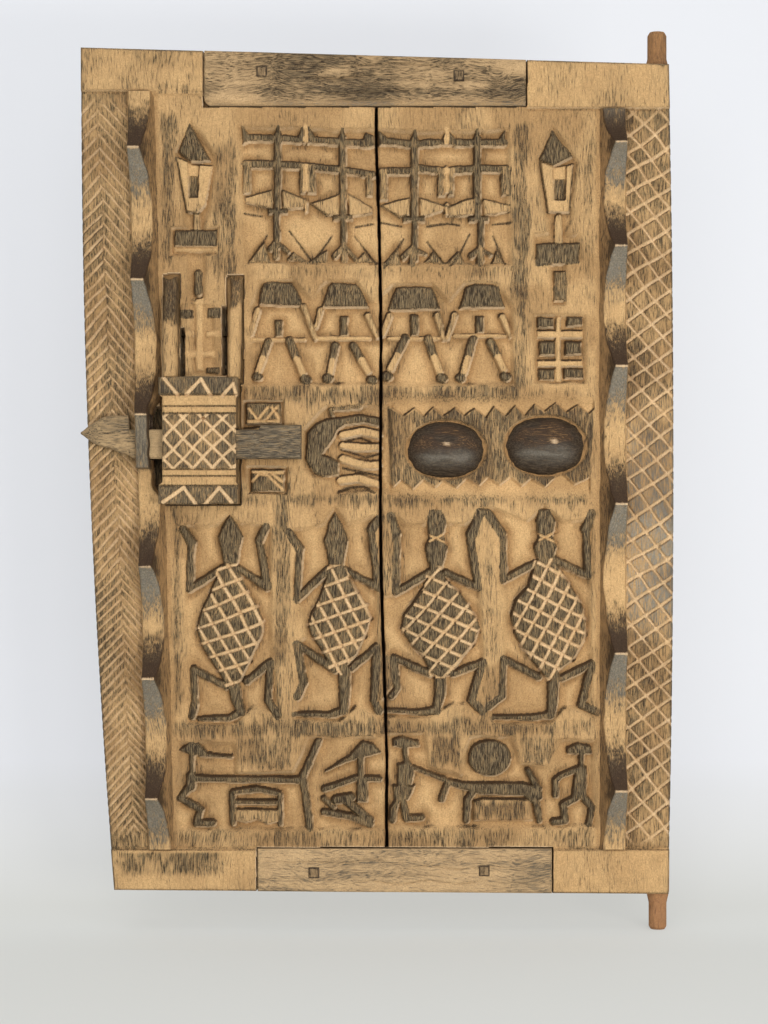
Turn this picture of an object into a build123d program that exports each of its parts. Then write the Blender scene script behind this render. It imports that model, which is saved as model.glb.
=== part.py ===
"""Carved granary door: two hewn planks joined by let-in battens, turning on its own wooden pivots,
with a wooden bolt lock of the pin tumbler kind.

Frame: X to the right seen from the front, Z up, the carved front faces -Y.
The origin is on the pivot axis, at the foot of the lower pivot's journal. Millimetres.
"""

from build123d import *
import os
from math import atan2, cos, degrees, hypot, pi, sin

os.makedirs("parts", exist_ok=True)

# ---------------------------------------------------------------- levels
# Depths are measured forward from the pivot axis, so a larger depth is nearer the viewer.
back_depth = -12.0  # back of the planks
ground_depth = 8.0  # floor of the carved fields
relief = 5.0  # figures and borders stand this far above the ground
rail_rise = 2.0  # rails stand this far above the borders
rim_valley_rise = 4.0  # rim above the borders, at its hollows
rim_crest_rise = 20.0  # and at its crests
surface_depth = ground_depth + relief
rail_depth = surface_depth + rail_rise
rim_valley_depth = surface_depth + rim_valley_rise
rim_crest_depth = surface_depth + rim_crest_rise

# ---------------------------------------------------------------- plan of the door
foot_z = 30.0
door_height = 632.0
top_z = foot_z + door_height
free_edge_top_x = -434.5
free_edge_foot_x = -409.5
free_edge_bulge = 6.5  # how far the hewn free edge bows out from a straight line
top_drop = 12.5  # the top edge falls this much from the free edge to the hinge edge
foot_drop = 3.0
hinge_edge_x = 6.5
hinge_edge_bulge = 4.0
seam_top_x = -213.5
seam_foot_x = -204.5
seam_gap = 2.6  # open in front, where the planks' edges are worn
seam_back_gap = 0.4  # tight behind
seam_step_depth = 0.0
housing_run_out = 4.0  # the cleats' housings run past the plank's ends
cut_past = 1.0  # other cuts run this far past the surface that they open
side_reach = 20.0  # the rails' bands reach this far past the edges, where the plank's outline trims them


def between(z, foot_value, top_value):
    """Value at height z on the straight line from the foot of the door to its top."""
    return foot_value + (top_value - foot_value) * (z - foot_z) / door_height


def free_edge_x(z):
    """The free edge is a shallow bow, leaning out towards the top."""
    share = (z - foot_z) / door_height
    return between(z, free_edge_foot_x, free_edge_top_x) - 4 * free_edge_bulge * share * (1 - share)


def hinge_edge_at(z):
    share = (z - foot_z) / door_height
    return hinge_edge_x + 4 * hinge_edge_bulge * share * (1 - share)


def top_edge_z(x):
    share = (x - free_edge_top_x) / (hinge_edge_x - free_edge_top_x)
    return top_z - top_drop * share


def foot_edge_z(x):
    share = (x - free_edge_foot_x) / (hinge_edge_x - free_edge_foot_x)
    return foot_z - foot_drop * share


# ---------------------------------------------------------------- rails and cleats
left_rail_foot_z = top_z - 33.0  # lower edge of the top rail, free side
right_rail_foot_z = top_z - 46.0
bottom_rail_top_z = 61.0
cleat_thickness = 14.0
cleat_rise = 4.0  # a cleat stands this far above the borders
cleat_fit = 0.1  # clearance at each end and long side of a cleat
cleat_bevel = 2.0
top_cleat_left_x = -342.0
top_cleat_right_x = -100.5
top_cleat_foot_z = top_z - 44.0
bottom_cleat_left_x = -302.0
bottom_cleat_right_x = -81.0
bottom_cleat_top_z = 61.5
cleat_front_depth = surface_depth + cleat_rise
cleat_seat_depth = cleat_front_depth - cleat_thickness
rail_step_x = -384.0  # the free-side rail is deeper left of here
rail_step = 2.5

peg_side = 8.0
peg_fit = 0.05
peg_stand_out = 0.6
top_peg_places = [(-298.5, top_z - 19.0), (-151.0, top_z - 22.0)]
bottom_peg_places = [(-259.5, 43.5), (-132.0, 45.0)]

# ---------------------------------------------------------------- rims
rim_width = 20.0  # at the foot of the rim
rim_batter = 9.0  # the inner wall leans in by this much from the foot to a crest
left_rim_top_x = -400.5  # outer wall, at the top and foot of the door
left_rim_foot_x = -383.0
right_rim_top_x = -25.5
right_rim_foot_x = -25.5
# heights of the crests, as shares of the way from the bottom rail to the top one
left_crest_shares = [0.921, 0.748, 0.572, 0.373, 0.227, 0.070]
right_crest_shares = [0.950, 0.811, 0.650, 0.466, 0.266, 0.082]

# ---------------------------------------------------------------- pivots
upper_pivot_radius = 7.5
upper_pivot_length = 19.0
upper_pivot_root = 6.0  # cone between the plank's edge and the journal
lower_pivot_radius = 7.0
lower_pivot_length = 18.0
root_flare = 2.0  # a root is this much wider than its journal at the plank
pivot_bury = 20.0  # a root's round is carried on inside the plank by this much
pivot_end_round = 1.5

# ---------------------------------------------------------------- lock
bolt_height = 22.0
bolt_thickness = 11.5
bolt_centre_z = 364.0
bolt_travel = 16.0
bolt_rise = 0.5  # running gap between the bolt and the border that its head slides over
bolt_fit = 0.3  # clearance round the bolt in its tunnels
bolt_step = 4.0  # raised stop on the bolt's tail
bolt_edge = 1.0
bolt_tail_x = -268.5
head_length = 38.0
head_height = 33.0
head_tip_share = 0.62  # height of the tip on the head
head_bend_share = 0.55  # the head's edges bend here, measured from its shoulder
head_top_bend = 2.0
head_foot_bend = 7.0
tip_height = 2.0
case_left_x = -374.5
case_right_x = -315.0
case_foot_z = 319.0
case_top_z = 414.0
case_front_rise = 20.0  # case above the borders
case_fit = 0.2  # clearance round the case in its seat
case_round = 1.5
horn_width = 11.0
horn_length = 76.0
horn_front_rise = 14.0
horn_tip_rise = 5.0
horn_shoulder_share = 0.6  # the horns start to slope this far up
horn_inset = 2.5
band_height = 14.0  # zigzag band at the top and foot of the case
ridge_height = 6.0  # two plain ridges inside each band
ridge_groove = 2.0
hollow_left_x = -384.0  # hollow cut into the plank beside the case
hollow_foot_z = 334.0
hollow_top_z = 392.0
hollow_floor_depth = -4.0
pin_radius = 1.9
pin_fit = 0.1
pin_length = 19.0
pin_head_radius = 3.0
pin_head_height = 2.0
pin_drop = 6.5  # how far a pin falls into the shut bolt
pin_lift = 4.0  # how far the key lifts a pin above the bolt
pin_ride = 0.3  # gap between a resting pin and the bolt
pin_point = 0.6
pin_slot_spare = 1.0  # room over a lifted pin
pin_hole_fit = 0.3  # clearance round a pin in the bolt
pin_count = 3
key_way_end_wall = 3.0  # wood left between the last pin and the end of the key way
key_way_height = 7.0
key_way_depth = 8.0
case_peg_radius = 4.0
case_peg_bite = 12.0  # how far a peg reaches into the case
case_peg_places = [(-366.0, 407.0), (-323.0, 326.0)]

bolt_back_depth = surface_depth + bolt_rise
bolt_front_depth = bolt_back_depth + bolt_thickness
bolt_foot_z = bolt_centre_z - bolt_height / 2
bolt_top_z = bolt_centre_z + bolt_height / 2
case_front_depth = surface_depth + case_front_rise
horn_front_depth = surface_depth + horn_front_rise
stop_x = case_right_x + bolt_travel  # the raised stop starts here with the bolt drawn back
pin_depth = (bolt_back_depth + bolt_front_depth) / 2
pin_pitch = bolt_travel * 2 / 3  # keeps every bolt hole midway between two pins at rest
case_centre_x = (case_left_x + case_right_x) / 2
pin_xs = [case_centre_x + pin_pitch * (i - (pin_count - 1) / 2) for i in range(pin_count)]

# ---------------------------------------------------------------- figures
# Each group of figures stands in a field sunk from the planks' old surface.
# The tops of the figures keep that surface.
limb_width = 4.5
turtle_body_length = 88.0
turtle_body_width = 48.0
turtle_head_length = 39.0
turtle_head_width = 17.0
turtle_centres = [(-322.5, 228.0), (-240.0, 231.0), (-166.5, 231.0), (-84.0, 233.0)]
dancer_centres = [(-285.5, 450.0), (-236.5, 449.0), (-184.0, 447.0), (-134.5, 448.0)]
top_row_z = top_z - 105.0
kanaga_centres = [
    (-287.0, top_row_z + 3),
    (-238.0, top_row_z),
    (-184.0, top_row_z - 1),
    (-136.5, top_row_z - 1),
]
mask_centres = [(-350.0, top_row_z + 3), (-78.0, top_row_z - 1)]
pad_centres = [(-297.5, 387.0), (-294.5, 337.0)]
pad_width = 25.0
pad_height = 15.0
pad_margin = 3.0
hand_centre = (-240.0, 360.0)
chequer_centre = (-74.5, 436.0)
chequer_pitch = (21.0, 20.0)
chequer_block = (11.0, 8.0)
dome_width = 57.0
dome_height = 42.0
dome_rise = 13.0
dome_sides = 24
# rings of a dome, as shares of its rise and of its width
dome_rings = [(0.0, 1.0), (0.36, 0.93), (0.68, 0.73), (0.9, 0.44), (1.0, 0.12)]
dome_centres = [(-161.0, 360.5), (-85.5, 363.0)]
moat_width = 5.0
tooth_pitch = 15.4
tooth_height = 6.5
toothed_band_sink = 2.5
toothed_band_height = 6.0
toothed_band_ends = (-204.0, -50.0)
toothed_band_zs = [(385.0, 1), (338.0, -1)]  # height of the teeth's feet, and the way that they point
disc_centre = (-127.5, 128.5)
disc_radius = 14.5

front = Plane.XZ  # its normal is -Y, so an offset is a depth


def box_face(low_x, low_z, high_x, high_z):
    """Rectangle given by two opposite corners."""
    Polygon((low_x, low_z), (high_x, low_z), (high_x, high_z), (low_x, high_z))


def limb(start, end, width=limb_width):
    """A raised bar with square ends that overlap at a joint."""
    run = (end[0] - start[0], end[1] - start[1])
    with Locations(((start[0] + end[0]) / 2, (start[1] + end[1]) / 2)):
        Rectangle(hypot(*run) + width / 2, width, rotation=degrees(atan2(run[1], run[0])))


def chain(points, width=limb_width):
    """Bars joined end to end."""
    for start, end in zip(points, points[1:]):
        limb(start, end, width)


def shape(points):
    """A flat raised shape."""
    Polygon(*points)


def placed(centre, points):
    """Points measured from the figure's centre."""
    return [(centre[0] + x, centre[1] + z) for x, z in points]


def turtle(centre):
    half = turtle_body_length / 2
    wide = turtle_body_width / 2
    body = [(-0.2, 1), (-0.5, 0.65), (-0.9, 0.27), (-1, 0), (-0.9, -0.3), (-0.5, -0.65), (-0.2, -1),
            (0.2, -1), (0.5, -0.65), (0.9, -0.25), (1, 0.05), (0.85, 0.35), (0.45, 0.75), (0.2, 1)]
    head = [(-0.4, -0.06), (-1, 0.55), (-0.5, 0.92), (0, 1), (0.5, 0.92), (1, 0.55), (0.4, -0.06)]
    shape(placed(centre, [(x * wide, z * half) for x, z in body]))
    shape(placed(centre, [(x * turtle_head_width / 2, half + z * turtle_head_length) for x, z in head]))
    for side in (-1, 1):
        chain(placed(centre, [(side * 4, half - 3), (side * 31, half - 18), (side * 29, half + 19),
                              (side * 33, half + 31)]))
        chain(placed(centre, [(side * 4, 4 - half), (side * 31, 18 - half), (side * 27, -half - 11),
                              (side * 33, -half - 19)]))
    tail = [(0, 2 - half), (4, -half - 16), (-3, -half - 26), (-34, -half - 26)]
    chain(placed(centre, tail), limb_width + 1)


turtle_fields = [
    [(-363, 303), (-356, 288), (-358, 240), (-353, 176), (-356, 154), (-318, 153), (-303, 166), (-284, 158),
     (-289, 200), (-290.5, 262), (-291, 303), (-314, 306), (-323, 314), (-333, 306)],
    [(-283, 300), (-275, 285), (-277, 248), (-269, 242), (-268.5, 220), (-276, 214), (-272, 186),
     (-276, 157), (-240, 156), (-228, 166), (-214, 160), (-211, 172), (-211, 258), (-214, 300),
     (-211, 312), (-234, 306), (-244, 317), (-253, 306)],
    [(-200.5, 313), (-200.5, 253), (-210, 250), (-210, 207), (-201, 204), (-201, 186), (-210, 172),
     (-210, 158), (-172, 158), (-157, 168), (-147, 168), (-137, 160), (-130, 163), (-138, 173),
     (-131, 200), (-133.5, 258), (-139, 292), (-133, 316), (-147, 306), (-158, 306), (-168, 319),
     (-178, 306), (-190, 306)],
    [(-137, 317), (-121, 299), (-121, 262), (-118, 256), (-118, 208), (-121, 202), (-121.5, 176),
     (-131, 167), (-125, 154), (-80, 154), (-72, 164), (-62, 164), (-47, 159), (-52, 172), (-48, 200),
     (-51, 214), (-50, 266), (-51, 300), (-48, 314), (-58, 308), (-72, 308), (-87, 320), (-100, 308),
     (-124, 317)],
]


def dancer(centre):
    shape(placed(centre, [(-17, 17), (17, 17), (14, 27), (9, 35), (-9, 35), (-14, 27)]))
    limb(*placed(centre, [(15, 18), (22, -3)]), 4)
    limb(*placed(centre, [(-15, 18), (-21, -1)]), 4)
    limb(*placed(centre, [(0, -2), (0, 10)]), 6)
    for side in (-1, 1):
        limb(*placed(centre, [(side * 8, -9), (side * 17, -30)]), 6)
        limb(*placed(centre, [(side * 17, -36), (side * 20, -36)]), 7)


def kanaga(centre):
    """Mask with a double-armed cross, above the dancer who wears it."""
    for arm_z in (15.0, 34.0):
        limb(*placed(centre, [(-20, arm_z), (20, arm_z)]), 5)
    limb(*placed(centre, [(0, -4), (0, 41)]))
    for side in (-1, 1):
        limb(*placed(centre, [(side * 20, 33), (side * 20, 40)]))
        limb(*placed(centre, [(side * 20, -3), (side * 20, 15)]), 5)
    shape(placed(centre, [(-23, -12), (0, -20), (22, -14), (22, -10), (0, -4), (-23, -9)]))
    limb(*placed(centre, [(-6, -22), (6, -22)]), 4)
    limb(*placed(centre, [(0, -46), (0, -20)]), 4)
    shape(placed(centre, [(-7, -56), (-9, -52), (0, -44), (9, -52), (7, -56), (0, -50)]))


def hooded_mask(centre):
    shape(placed(centre, [(-12, 22), (-1, 15), (12, 20), (-2, 45)]))
    for side in (-1, 1):
        limb(*placed(centre, [(side * 12, 17), (side * 8, -16)]), 4)
    limb(*placed(centre, [(-9, -18), (9, -18)]), 5)
    limb(*placed(centre, [(0, -10), (0, 8)]), 7)
    limb(*placed(centre, [(1, -36), (1, -20)]), 5)
    shape(placed(centre, [(-15, -49), (16, -49), (16, -36), (-15, -36)]))
    limb(*placed(centre, [(2, -83), (2, -66)]), 6)


def mask_field(centre):
    shape(placed(centre, [(-2, 49), (-16, 24), (-9, -20), (-7, -32), (-18, -32), (-18, -54), (-5, -54),
                          (-5, -89), (9, -89), (9, -54), (19, -54), (19, -32), (10, -32), (13, -20),
                          (18, 20)]))


def open_hand(centre):
    """A ring broken by four fingers that point across the seam."""
    shape(placed(centre, [(-26, -7), (-24, 12), (-18, 20), (-10, 23), (14, 26), (31, 24), (31, 18),
                          (4, 19), (-2, 15), (-14, -4), (-2, -9), (-2, -20), (-14, -20), (-22, -15)]))
    for finger_z in (12.0, 1.0, -9.5, -22.5):
        limb(*placed(centre, [(2, finger_z + 1), (30, finger_z - 1)]), 6)


def chequer(centre):
    """Two columns of three blocks."""
    with Locations(centre):
        with GridLocations(*chequer_pitch, 2, 3):
            Rectangle(*chequer_block)


dancer_field_left = [(-309, 466), (-302, 488), (-275, 489), (-262, 476), (-250, 488), (-228, 488),
                     (-217, 474), (-200, 474), (-200, 408), (-309, 408)]
dancer_field_right = [(-216, 474), (-201, 485), (-170, 486), (-159, 474), (-147, 487), (-122, 487),
                      (-109, 466), (-108, 408), (-216, 408)]
kanaga_field_left = placed((0, top_row_z), [(-317, 47), (-200, 44), (-200, -58), (-312, -58)])
kanaga_field_right = placed((0, top_row_z), [(-220, 44), (-113, 44), (-110, -59), (-220, -59)])
hand_field = [(-269, 345), (-270, 376), (-258, 389), (-250, 394), (-200, 394), (-200, 327), (-244, 327),
              (-247, 337), (-262, 339)]
chequer_field = [(-95, 462), (-54.5, 462), (-54.5, 409), (-95, 409)]
foot_field_left = [(-363, 142), (-318, 142), (-316, 119), (-276, 119), (-266, 146), (-200, 146), (-200, 74),
                   (-363, 74)]
foot_field_right = [(-216, 148), (-176, 148), (-172, 124), (-150, 117), (-145, 146), (-110, 146),
                    (-104, 126), (-84, 124), (-76, 143), (-47, 143), (-47, 76), (-216, 76)]
dog_island = [(-139, 82), (-139, 96), (-133, 98), (-98, 97), (-96, 82)]


def foot_scene_left():
    """A seated figure at a long table over a hut, two posts, and a second seated figure."""
    shape([(-361, 135), (-352, 140.5), (-340, 132), (-322, 129.5), (-352, 129)])
    limb((-351, 131), (-352, 107), 4)
    chain([(-354, 106), (-360, 98), (-345, 90), (-348, 80), (-337, 80)])
    limb((-350, 113), (-268, 113))
    shape([(-322, 101), (-322, 104), (-302, 107.5), (-284, 103), (-284, 100), (-302, 103)])
    limb((-320.5, 101), (-320.5, 80), 3.5)
    limb((-285, 101), (-285, 80), 3.5)
    limb((-320, 95.5), (-285, 95.5), 3.5)
    shape([(-318, 90), (-287, 90), (-287, 81), (-295, 79), (-303, 82), (-311, 80), (-318, 82)])
    limb((-268, 114), (-256, 141))
    limb((-268, 114), (-263, 78))
    shape([(-251, 119), (-232, 131), (-223, 141), (-213, 137), (-212, 132), (-230, 128)])
    limb((-224.5, 130), (-224, 97), 5)
    chain([(-251, 105), (-228, 114), (-212, 113)], 4)
    limb((-243, 98), (-219, 82), 5)
    limb((-251, 88), (-219, 80))


def foot_scene_right():
    """A figure that leads a dog, a disc over the dog, and a second figure."""
    shape([(-200, 142), (-192, 144.5), (-181, 141), (-180, 137), (-192, 136), (-200, 138)])
    limb((-190.5, 137), (-190, 125), 4)
    shape([(-196, 125), (-185, 126), (-184, 97), (-200, 97), (-200, 107)])
    chain([(-194, 98), (-190, 83), (-180, 83)])
    limb((-188, 122.5), (-160, 112), 3.5)
    limb((-159, 110), (-163.5, 98))
    shape([(-161, 113), (-140, 110), (-103, 110), (-90, 106), (-88, 95), (-94, 94), (-102, 101),
           (-140, 102)])
    limb((-91, 105), (-98, 119), 4)
    limb((-92.5, 97), (-90.5, 82))
    chain([(-140, 104), (-144, 97), (-145, 82)])
    with Locations(disc_centre):
        Circle(disc_radius)
    shape([(-69, 137), (-61, 140), (-52, 137), (-52, 132), (-69, 132)])
    limb((-58.7, 132), (-59, 121), 3.5)
    chain([(-59, 120), (-77, 112), (-78, 101)], 4)
    shape([(-63, 121), (-55.5, 121), (-55, 98), (-66, 98)])
    chain([(-63, 98), (-72, 93), (-71, 82), (-79, 81)])
    chain([(-57, 99), (-51, 92), (-52, 81)])


def toothed_band(teeth_z, way):
    """Shallow band beside the domes. Its edge next to them is a row of teeth."""
    low_x, high_x = toothed_band_ends
    count = round((high_x - low_x) / tooth_pitch)
    pitch = (high_x - low_x) / count
    edge = []
    for i in range(count):
        edge.append((low_x + i * pitch, teeth_z + way * tooth_height))
        edge.append((low_x + (i + 0.5) * pitch, teeth_z))
    edge.append((high_x, teeth_z + way * tooth_height))
    far_z = teeth_z + way * (tooth_height + toothed_band_height)
    Polygon(*edge, (high_x, far_z), (low_x, far_z))


def plank_block(plank_outline):
    """The plank up to its old surface."""
    with BuildSketch(front.offset(back_depth)) as board:
        plank_outline()
    extrude(board.sketch, amount=surface_depth - back_depth)


def wear_seam(side):
    """The joint between the planks is tight behind and worn open in front."""
    low_z = foot_z - side_reach
    high_z = top_z + side_reach
    low_x = between(low_z, seam_foot_x, seam_top_x)
    high_x = between(high_z, seam_foot_x, seam_top_x)
    worn_width = side * seam_gap / 2
    with BuildSketch(front.offset(seam_step_depth)) as worn:
        Polygon((low_x, low_z), (high_x, high_z), (high_x + worn_width, high_z), (low_x + worn_width, low_z))
    extrude(worn.sketch, amount=rim_crest_depth, mode=Mode.SUBTRACT)


def free_edge_line(foot, top):
    """Hewn edge as an arc between two heights."""
    middle = (foot + top) / 2
    return ThreePointArc(
        (free_edge_x(foot), foot),
        (free_edge_x(middle), middle),
        (free_edge_x(top), top),
    )


def hinge_edge_line(foot, top):
    middle = (foot + top) / 2
    return ThreePointArc(
        (hinge_edge_at(foot), foot),
        (hinge_edge_at(middle), middle),
        (hinge_edge_at(top), top),
    )


def rim(outer_foot_x, outer_top_x, inward, crest_shares, foot, top):
    """Ridge with an upright outer wall and a leaning inner wall, scalloped between its crests."""
    crests = [foot + share * (top - foot) for share in crest_shares]
    with BuildPart(mode=Mode.PRIVATE) as ridge:
        outer_foot = between(foot, outer_foot_x, outer_top_x)
        outer_top = between(top, outer_foot_x, outer_top_x)
        for depth, narrowing in ((surface_depth, 0.0), (rim_crest_depth, rim_batter)):
            width = inward * (rim_width - narrowing)
            with BuildSketch(front.offset(depth)):
                Polygon(
                    (outer_foot, foot),
                    (outer_top, top),
                    (outer_top + width, top),
                    (outer_foot + width, foot),
                )
        loft()
        ends = [foot - (crests[-1] - foot)] + crests[::-1] + [top + (top - crests[0])]
        low_x = min(outer_foot_x, outer_top_x) - 2 * rim_width
        with BuildSketch(Plane.YZ.offset(low_x)):
            with BuildLine():
                for low, high in zip(ends, ends[1:]):
                    ThreePointArc(
                        (-rim_crest_depth, low),
                        (-rim_valley_depth, (low + high) / 2),
                        (-rim_crest_depth, high),
                    )
                Polyline(
                    (-rim_crest_depth, ends[-1]),
                    (0, ends[-1]),
                    (0, ends[0]),
                    (-rim_crest_depth, ends[0]),
                )
            make_face()
        extrude(amount=4 * rim_width + abs(outer_top_x - outer_foot_x), mode=Mode.INTERSECT)
    add(ridge.part)


def cleat_seat(left_x, right_x, low_z, high_z):
    """Housing for a cleat, cut from the front."""
    with BuildSketch(front.offset(cleat_seat_depth)) as housing:
        box_face(left_x - cleat_fit, low_z, right_x + cleat_fit, high_z)
    extrude(housing.sketch, amount=rim_crest_depth, mode=Mode.SUBTRACT)


def peg_holes(places, side):
    """Square holes right through, at the given places."""
    with BuildSketch(front.offset(back_depth - cut_past)) as holes:
        with Locations(*places):
            Rectangle(side, side)
    extrude(holes.sketch, amount=rim_crest_depth - back_depth, mode=Mode.SUBTRACT)


top_cleat_top_z = top_z + housing_run_out
bottom_housing_foot_z = foot_z - foot_drop - housing_run_out

# ---------------------------------------------------------------- left plank
def left_plank_outline():
    top_x = seam_top_x - seam_back_gap / 2
    foot_x = seam_foot_x - seam_back_gap / 2
    with BuildLine() as outline:
        free_edge_line(foot_z, top_z)
        Polyline(
            (free_edge_x(top_z), top_z),
            (top_x, top_edge_z(top_x)),
            (foot_x, foot_edge_z(foot_x)),
            (free_edge_x(foot_z), foot_z),
        )
    make_face(outline.edges())


with BuildPart() as left_plank:
    plank_block(left_plank_outline)
    # fields sunk from the old surface
    with BuildSketch(front.offset(ground_depth)):
        for outline in turtle_fields[:2]:
            shape(outline)
        for outline in (dancer_field_left, kanaga_field_left, hand_field, foot_field_left):
            shape(outline)
        mask_field(mask_centres[0])
        for centre in pad_centres:
            with Locations(centre):
                Rectangle(pad_width + 2 * pad_margin, pad_height + 2 * pad_margin)
    extrude(amount=relief, mode=Mode.SUBTRACT)
    # figures that stand in them
    with BuildSketch(front.offset(ground_depth)):
        left_plank_outline()
        with BuildSketch(mode=Mode.INTERSECT):
            for centre in turtle_centres[:2]:
                turtle(centre)
            for centre in dancer_centres[:2]:
                dancer(centre)
            for centre in kanaga_centres[:2]:
                kanaga(centre)
            hooded_mask(mask_centres[0])
            open_hand(hand_centre)
            foot_scene_left()
            for centre in pad_centres:
                with Locations(centre):
                    Rectangle(pad_width, pad_height)
    extrude(amount=relief)
    wear_seam(-1)
    # rails across the top and foot
    with BuildSketch(front.offset(ground_depth)):
        left_plank_outline()
        with BuildSketch(mode=Mode.INTERSECT):
            box_face(free_edge_top_x - side_reach, left_rail_foot_z, rail_step_x, top_z + cut_past)
            box_face(rail_step_x, left_rail_foot_z - rail_step, top_cleat_left_x, top_z + cut_past)
            box_face(
                free_edge_top_x - side_reach,
                foot_z - side_reach,
                bottom_cleat_left_x,
                bottom_rail_top_z,
            )
    extrude(amount=rail_depth - ground_depth)
    rim(left_rim_foot_x, left_rim_top_x, 1, left_crest_shares, bottom_rail_top_z, left_rail_foot_z)
    cleat_seat(top_cleat_left_x, top_cleat_right_x, top_cleat_foot_z - cleat_fit, top_cleat_top_z)
    cleat_seat(
        bottom_cleat_left_x,
        bottom_cleat_right_x,
        bottom_housing_foot_z,
        bottom_cleat_top_z + cleat_fit,
    )
    peg_holes([top_peg_places[0], bottom_peg_places[0]], peg_side + 2 * peg_fit)
    # tunnel for the bolt through the rim
    with BuildSketch(front.offset(bolt_back_depth - bolt_fit)):
        box_face(free_edge_top_x, bolt_foot_z - bolt_fit, case_left_x, bolt_top_z + bolt_fit)
    extrude(amount=bolt_thickness + 2 * bolt_fit, mode=Mode.SUBTRACT)
    # flat seat for the case and its horns
    with BuildSketch(front.offset(ground_depth)):
        box_face(case_left_x - case_fit, case_foot_z - case_fit, case_right_x + horn_inset + case_fit,
                 case_top_z + horn_length + case_fit)
    extrude(amount=rim_crest_depth, mode=Mode.SUBTRACT)
    # hollow beside the case
    with BuildSketch(front.offset(hollow_floor_depth)):
        box_face(hollow_left_x, hollow_foot_z, case_left_x, hollow_top_z)
    extrude(amount=rim_crest_depth - hollow_floor_depth, mode=Mode.SUBTRACT)
    # peg holes for the case
    with BuildSketch(front.offset(back_depth - cut_past)):
        with Locations(*case_peg_places):
            Circle(case_peg_radius + peg_fit)
    extrude(amount=ground_depth - back_depth + cut_past, mode=Mode.SUBTRACT)

# ---------------------------------------------------------------- right plank
hinge_top_z = top_edge_z(hinge_edge_at(top_z))
hinge_foot_z = foot_edge_z(hinge_edge_at(foot_z))


def right_plank_outline():
    top_x = seam_top_x + seam_back_gap / 2
    foot_x = seam_foot_x + seam_back_gap / 2
    with BuildLine() as outline:
        hinge_edge_line(hinge_foot_z, hinge_top_z)
        Polyline(
            (hinge_edge_at(hinge_top_z), hinge_top_z),
            (top_x, top_edge_z(top_x)),
            (foot_x, foot_edge_z(foot_x)),
            (hinge_edge_at(hinge_foot_z), hinge_foot_z),
        )
    make_face(outline.edges())


upper_journal_z = hinge_top_z + upper_pivot_root
upper_journal_top_z = upper_journal_z + upper_pivot_length
lower_journal_z = lower_pivot_length

with BuildPart() as right_plank:
    plank_block(right_plank_outline)
    with BuildSketch(front.offset(ground_depth)):
        for outline in turtle_fields[2:]:
            shape(outline)
        for outline in (dancer_field_right, kanaga_field_right, chequer_field, foot_field_right):
            shape(outline)
        mask_field(mask_centres[1])
        for centre in dome_centres:
            with Locations(centre):
                Ellipse(dome_width / 2 + moat_width, dome_height / 2 + moat_width)
    extrude(amount=relief, mode=Mode.SUBTRACT)
    with BuildSketch(front.offset(surface_depth - toothed_band_sink)):
        for teeth_z, way in toothed_band_zs:
            toothed_band(teeth_z, way)
    extrude(amount=toothed_band_sink, mode=Mode.SUBTRACT)
    with BuildSketch(front.offset(ground_depth)):
        right_plank_outline()
        with BuildSketch(mode=Mode.INTERSECT):
            for centre in turtle_centres[2:]:
                turtle(centre)
            for centre in dancer_centres[2:]:
                dancer(centre)
            for centre in kanaga_centres[2:]:
                kanaga(centre)
            hooded_mask(mask_centres[1])
            chequer(chequer_centre)
            foot_scene_right()
            shape(dog_island)
    extrude(amount=relief)
    wear_seam(1)
    with BuildSketch(front.offset(ground_depth)):
        right_plank_outline()
        with BuildSketch(mode=Mode.INTERSECT):
            box_face(top_cleat_right_x, right_rail_foot_z, hinge_edge_x + side_reach, top_z)
            box_face(
                bottom_cleat_right_x,
                foot_z - side_reach,
                hinge_edge_x + side_reach,
                bottom_rail_top_z,
            )
    extrude(amount=rail_depth - ground_depth)
    rim(right_rim_foot_x, right_rim_top_x, -1, right_crest_shares, bottom_rail_top_z, right_rail_foot_z)
    cleat_seat(top_cleat_left_x, top_cleat_right_x, top_cleat_foot_z - cleat_fit, top_cleat_top_z)
    cleat_seat(
        bottom_cleat_left_x,
        bottom_cleat_right_x,
        bottom_housing_foot_z,
        bottom_cleat_top_z + cleat_fit,
    )
    peg_holes([top_peg_places[1], bottom_peg_places[1]], peg_side + 2 * peg_fit)
    # pivots, hewn from the plank's hinge edge and turned in their sockets
    with BuildSketch(Plane.XZ):
        with BuildLine():
            Polyline(
                (0, hinge_top_z - pivot_bury),
                (upper_pivot_radius + root_flare, hinge_top_z - pivot_bury),
                (upper_pivot_radius + root_flare, hinge_top_z),
                (upper_pivot_radius, upper_journal_z),
                (upper_pivot_radius, upper_journal_top_z),
                (upper_pivot_radius - pivot_end_round, upper_journal_top_z + pivot_end_round),
                (0, upper_journal_top_z + pivot_end_round),
                (0, hinge_top_z - pivot_bury),
            )
        make_face()
    revolve(axis=Axis.Z)
    with BuildSketch(Plane.XZ):
        with BuildLine():
            Polyline(
                (0, -pivot_end_round),
                (lower_pivot_radius - pivot_end_round, -pivot_end_round),
                (lower_pivot_radius, 0),
                (lower_pivot_radius, lower_journal_z),
                (lower_pivot_radius + root_flare, hinge_foot_z),
                (lower_pivot_radius + root_flare, hinge_foot_z + pivot_bury),
                (0, hinge_foot_z + pivot_bury),
                (0, -pivot_end_round),
            )
        make_face()
    revolve(axis=Axis.Z)

# the two domes, each cut in rings of flat facets from the floor of its field
facet_turns = [2 * pi * i / dome_sides for i in range(dome_sides)]
for dome_x, dome_z in dome_centres:
    with BuildPart() as dome:
        for rise, width in dome_rings:
            reach = width * dome_width / 2
            lift = width * dome_height / 2
            ring = [(dome_x + reach * cos(turn), dome_z + lift * sin(turn)) for turn in facet_turns]
            with BuildSketch(front.offset(ground_depth + rise * dome_rise)):
                Polygon(*ring)
        loft(ruled=True)
    with right_plank:
        add(dome.part)

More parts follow.
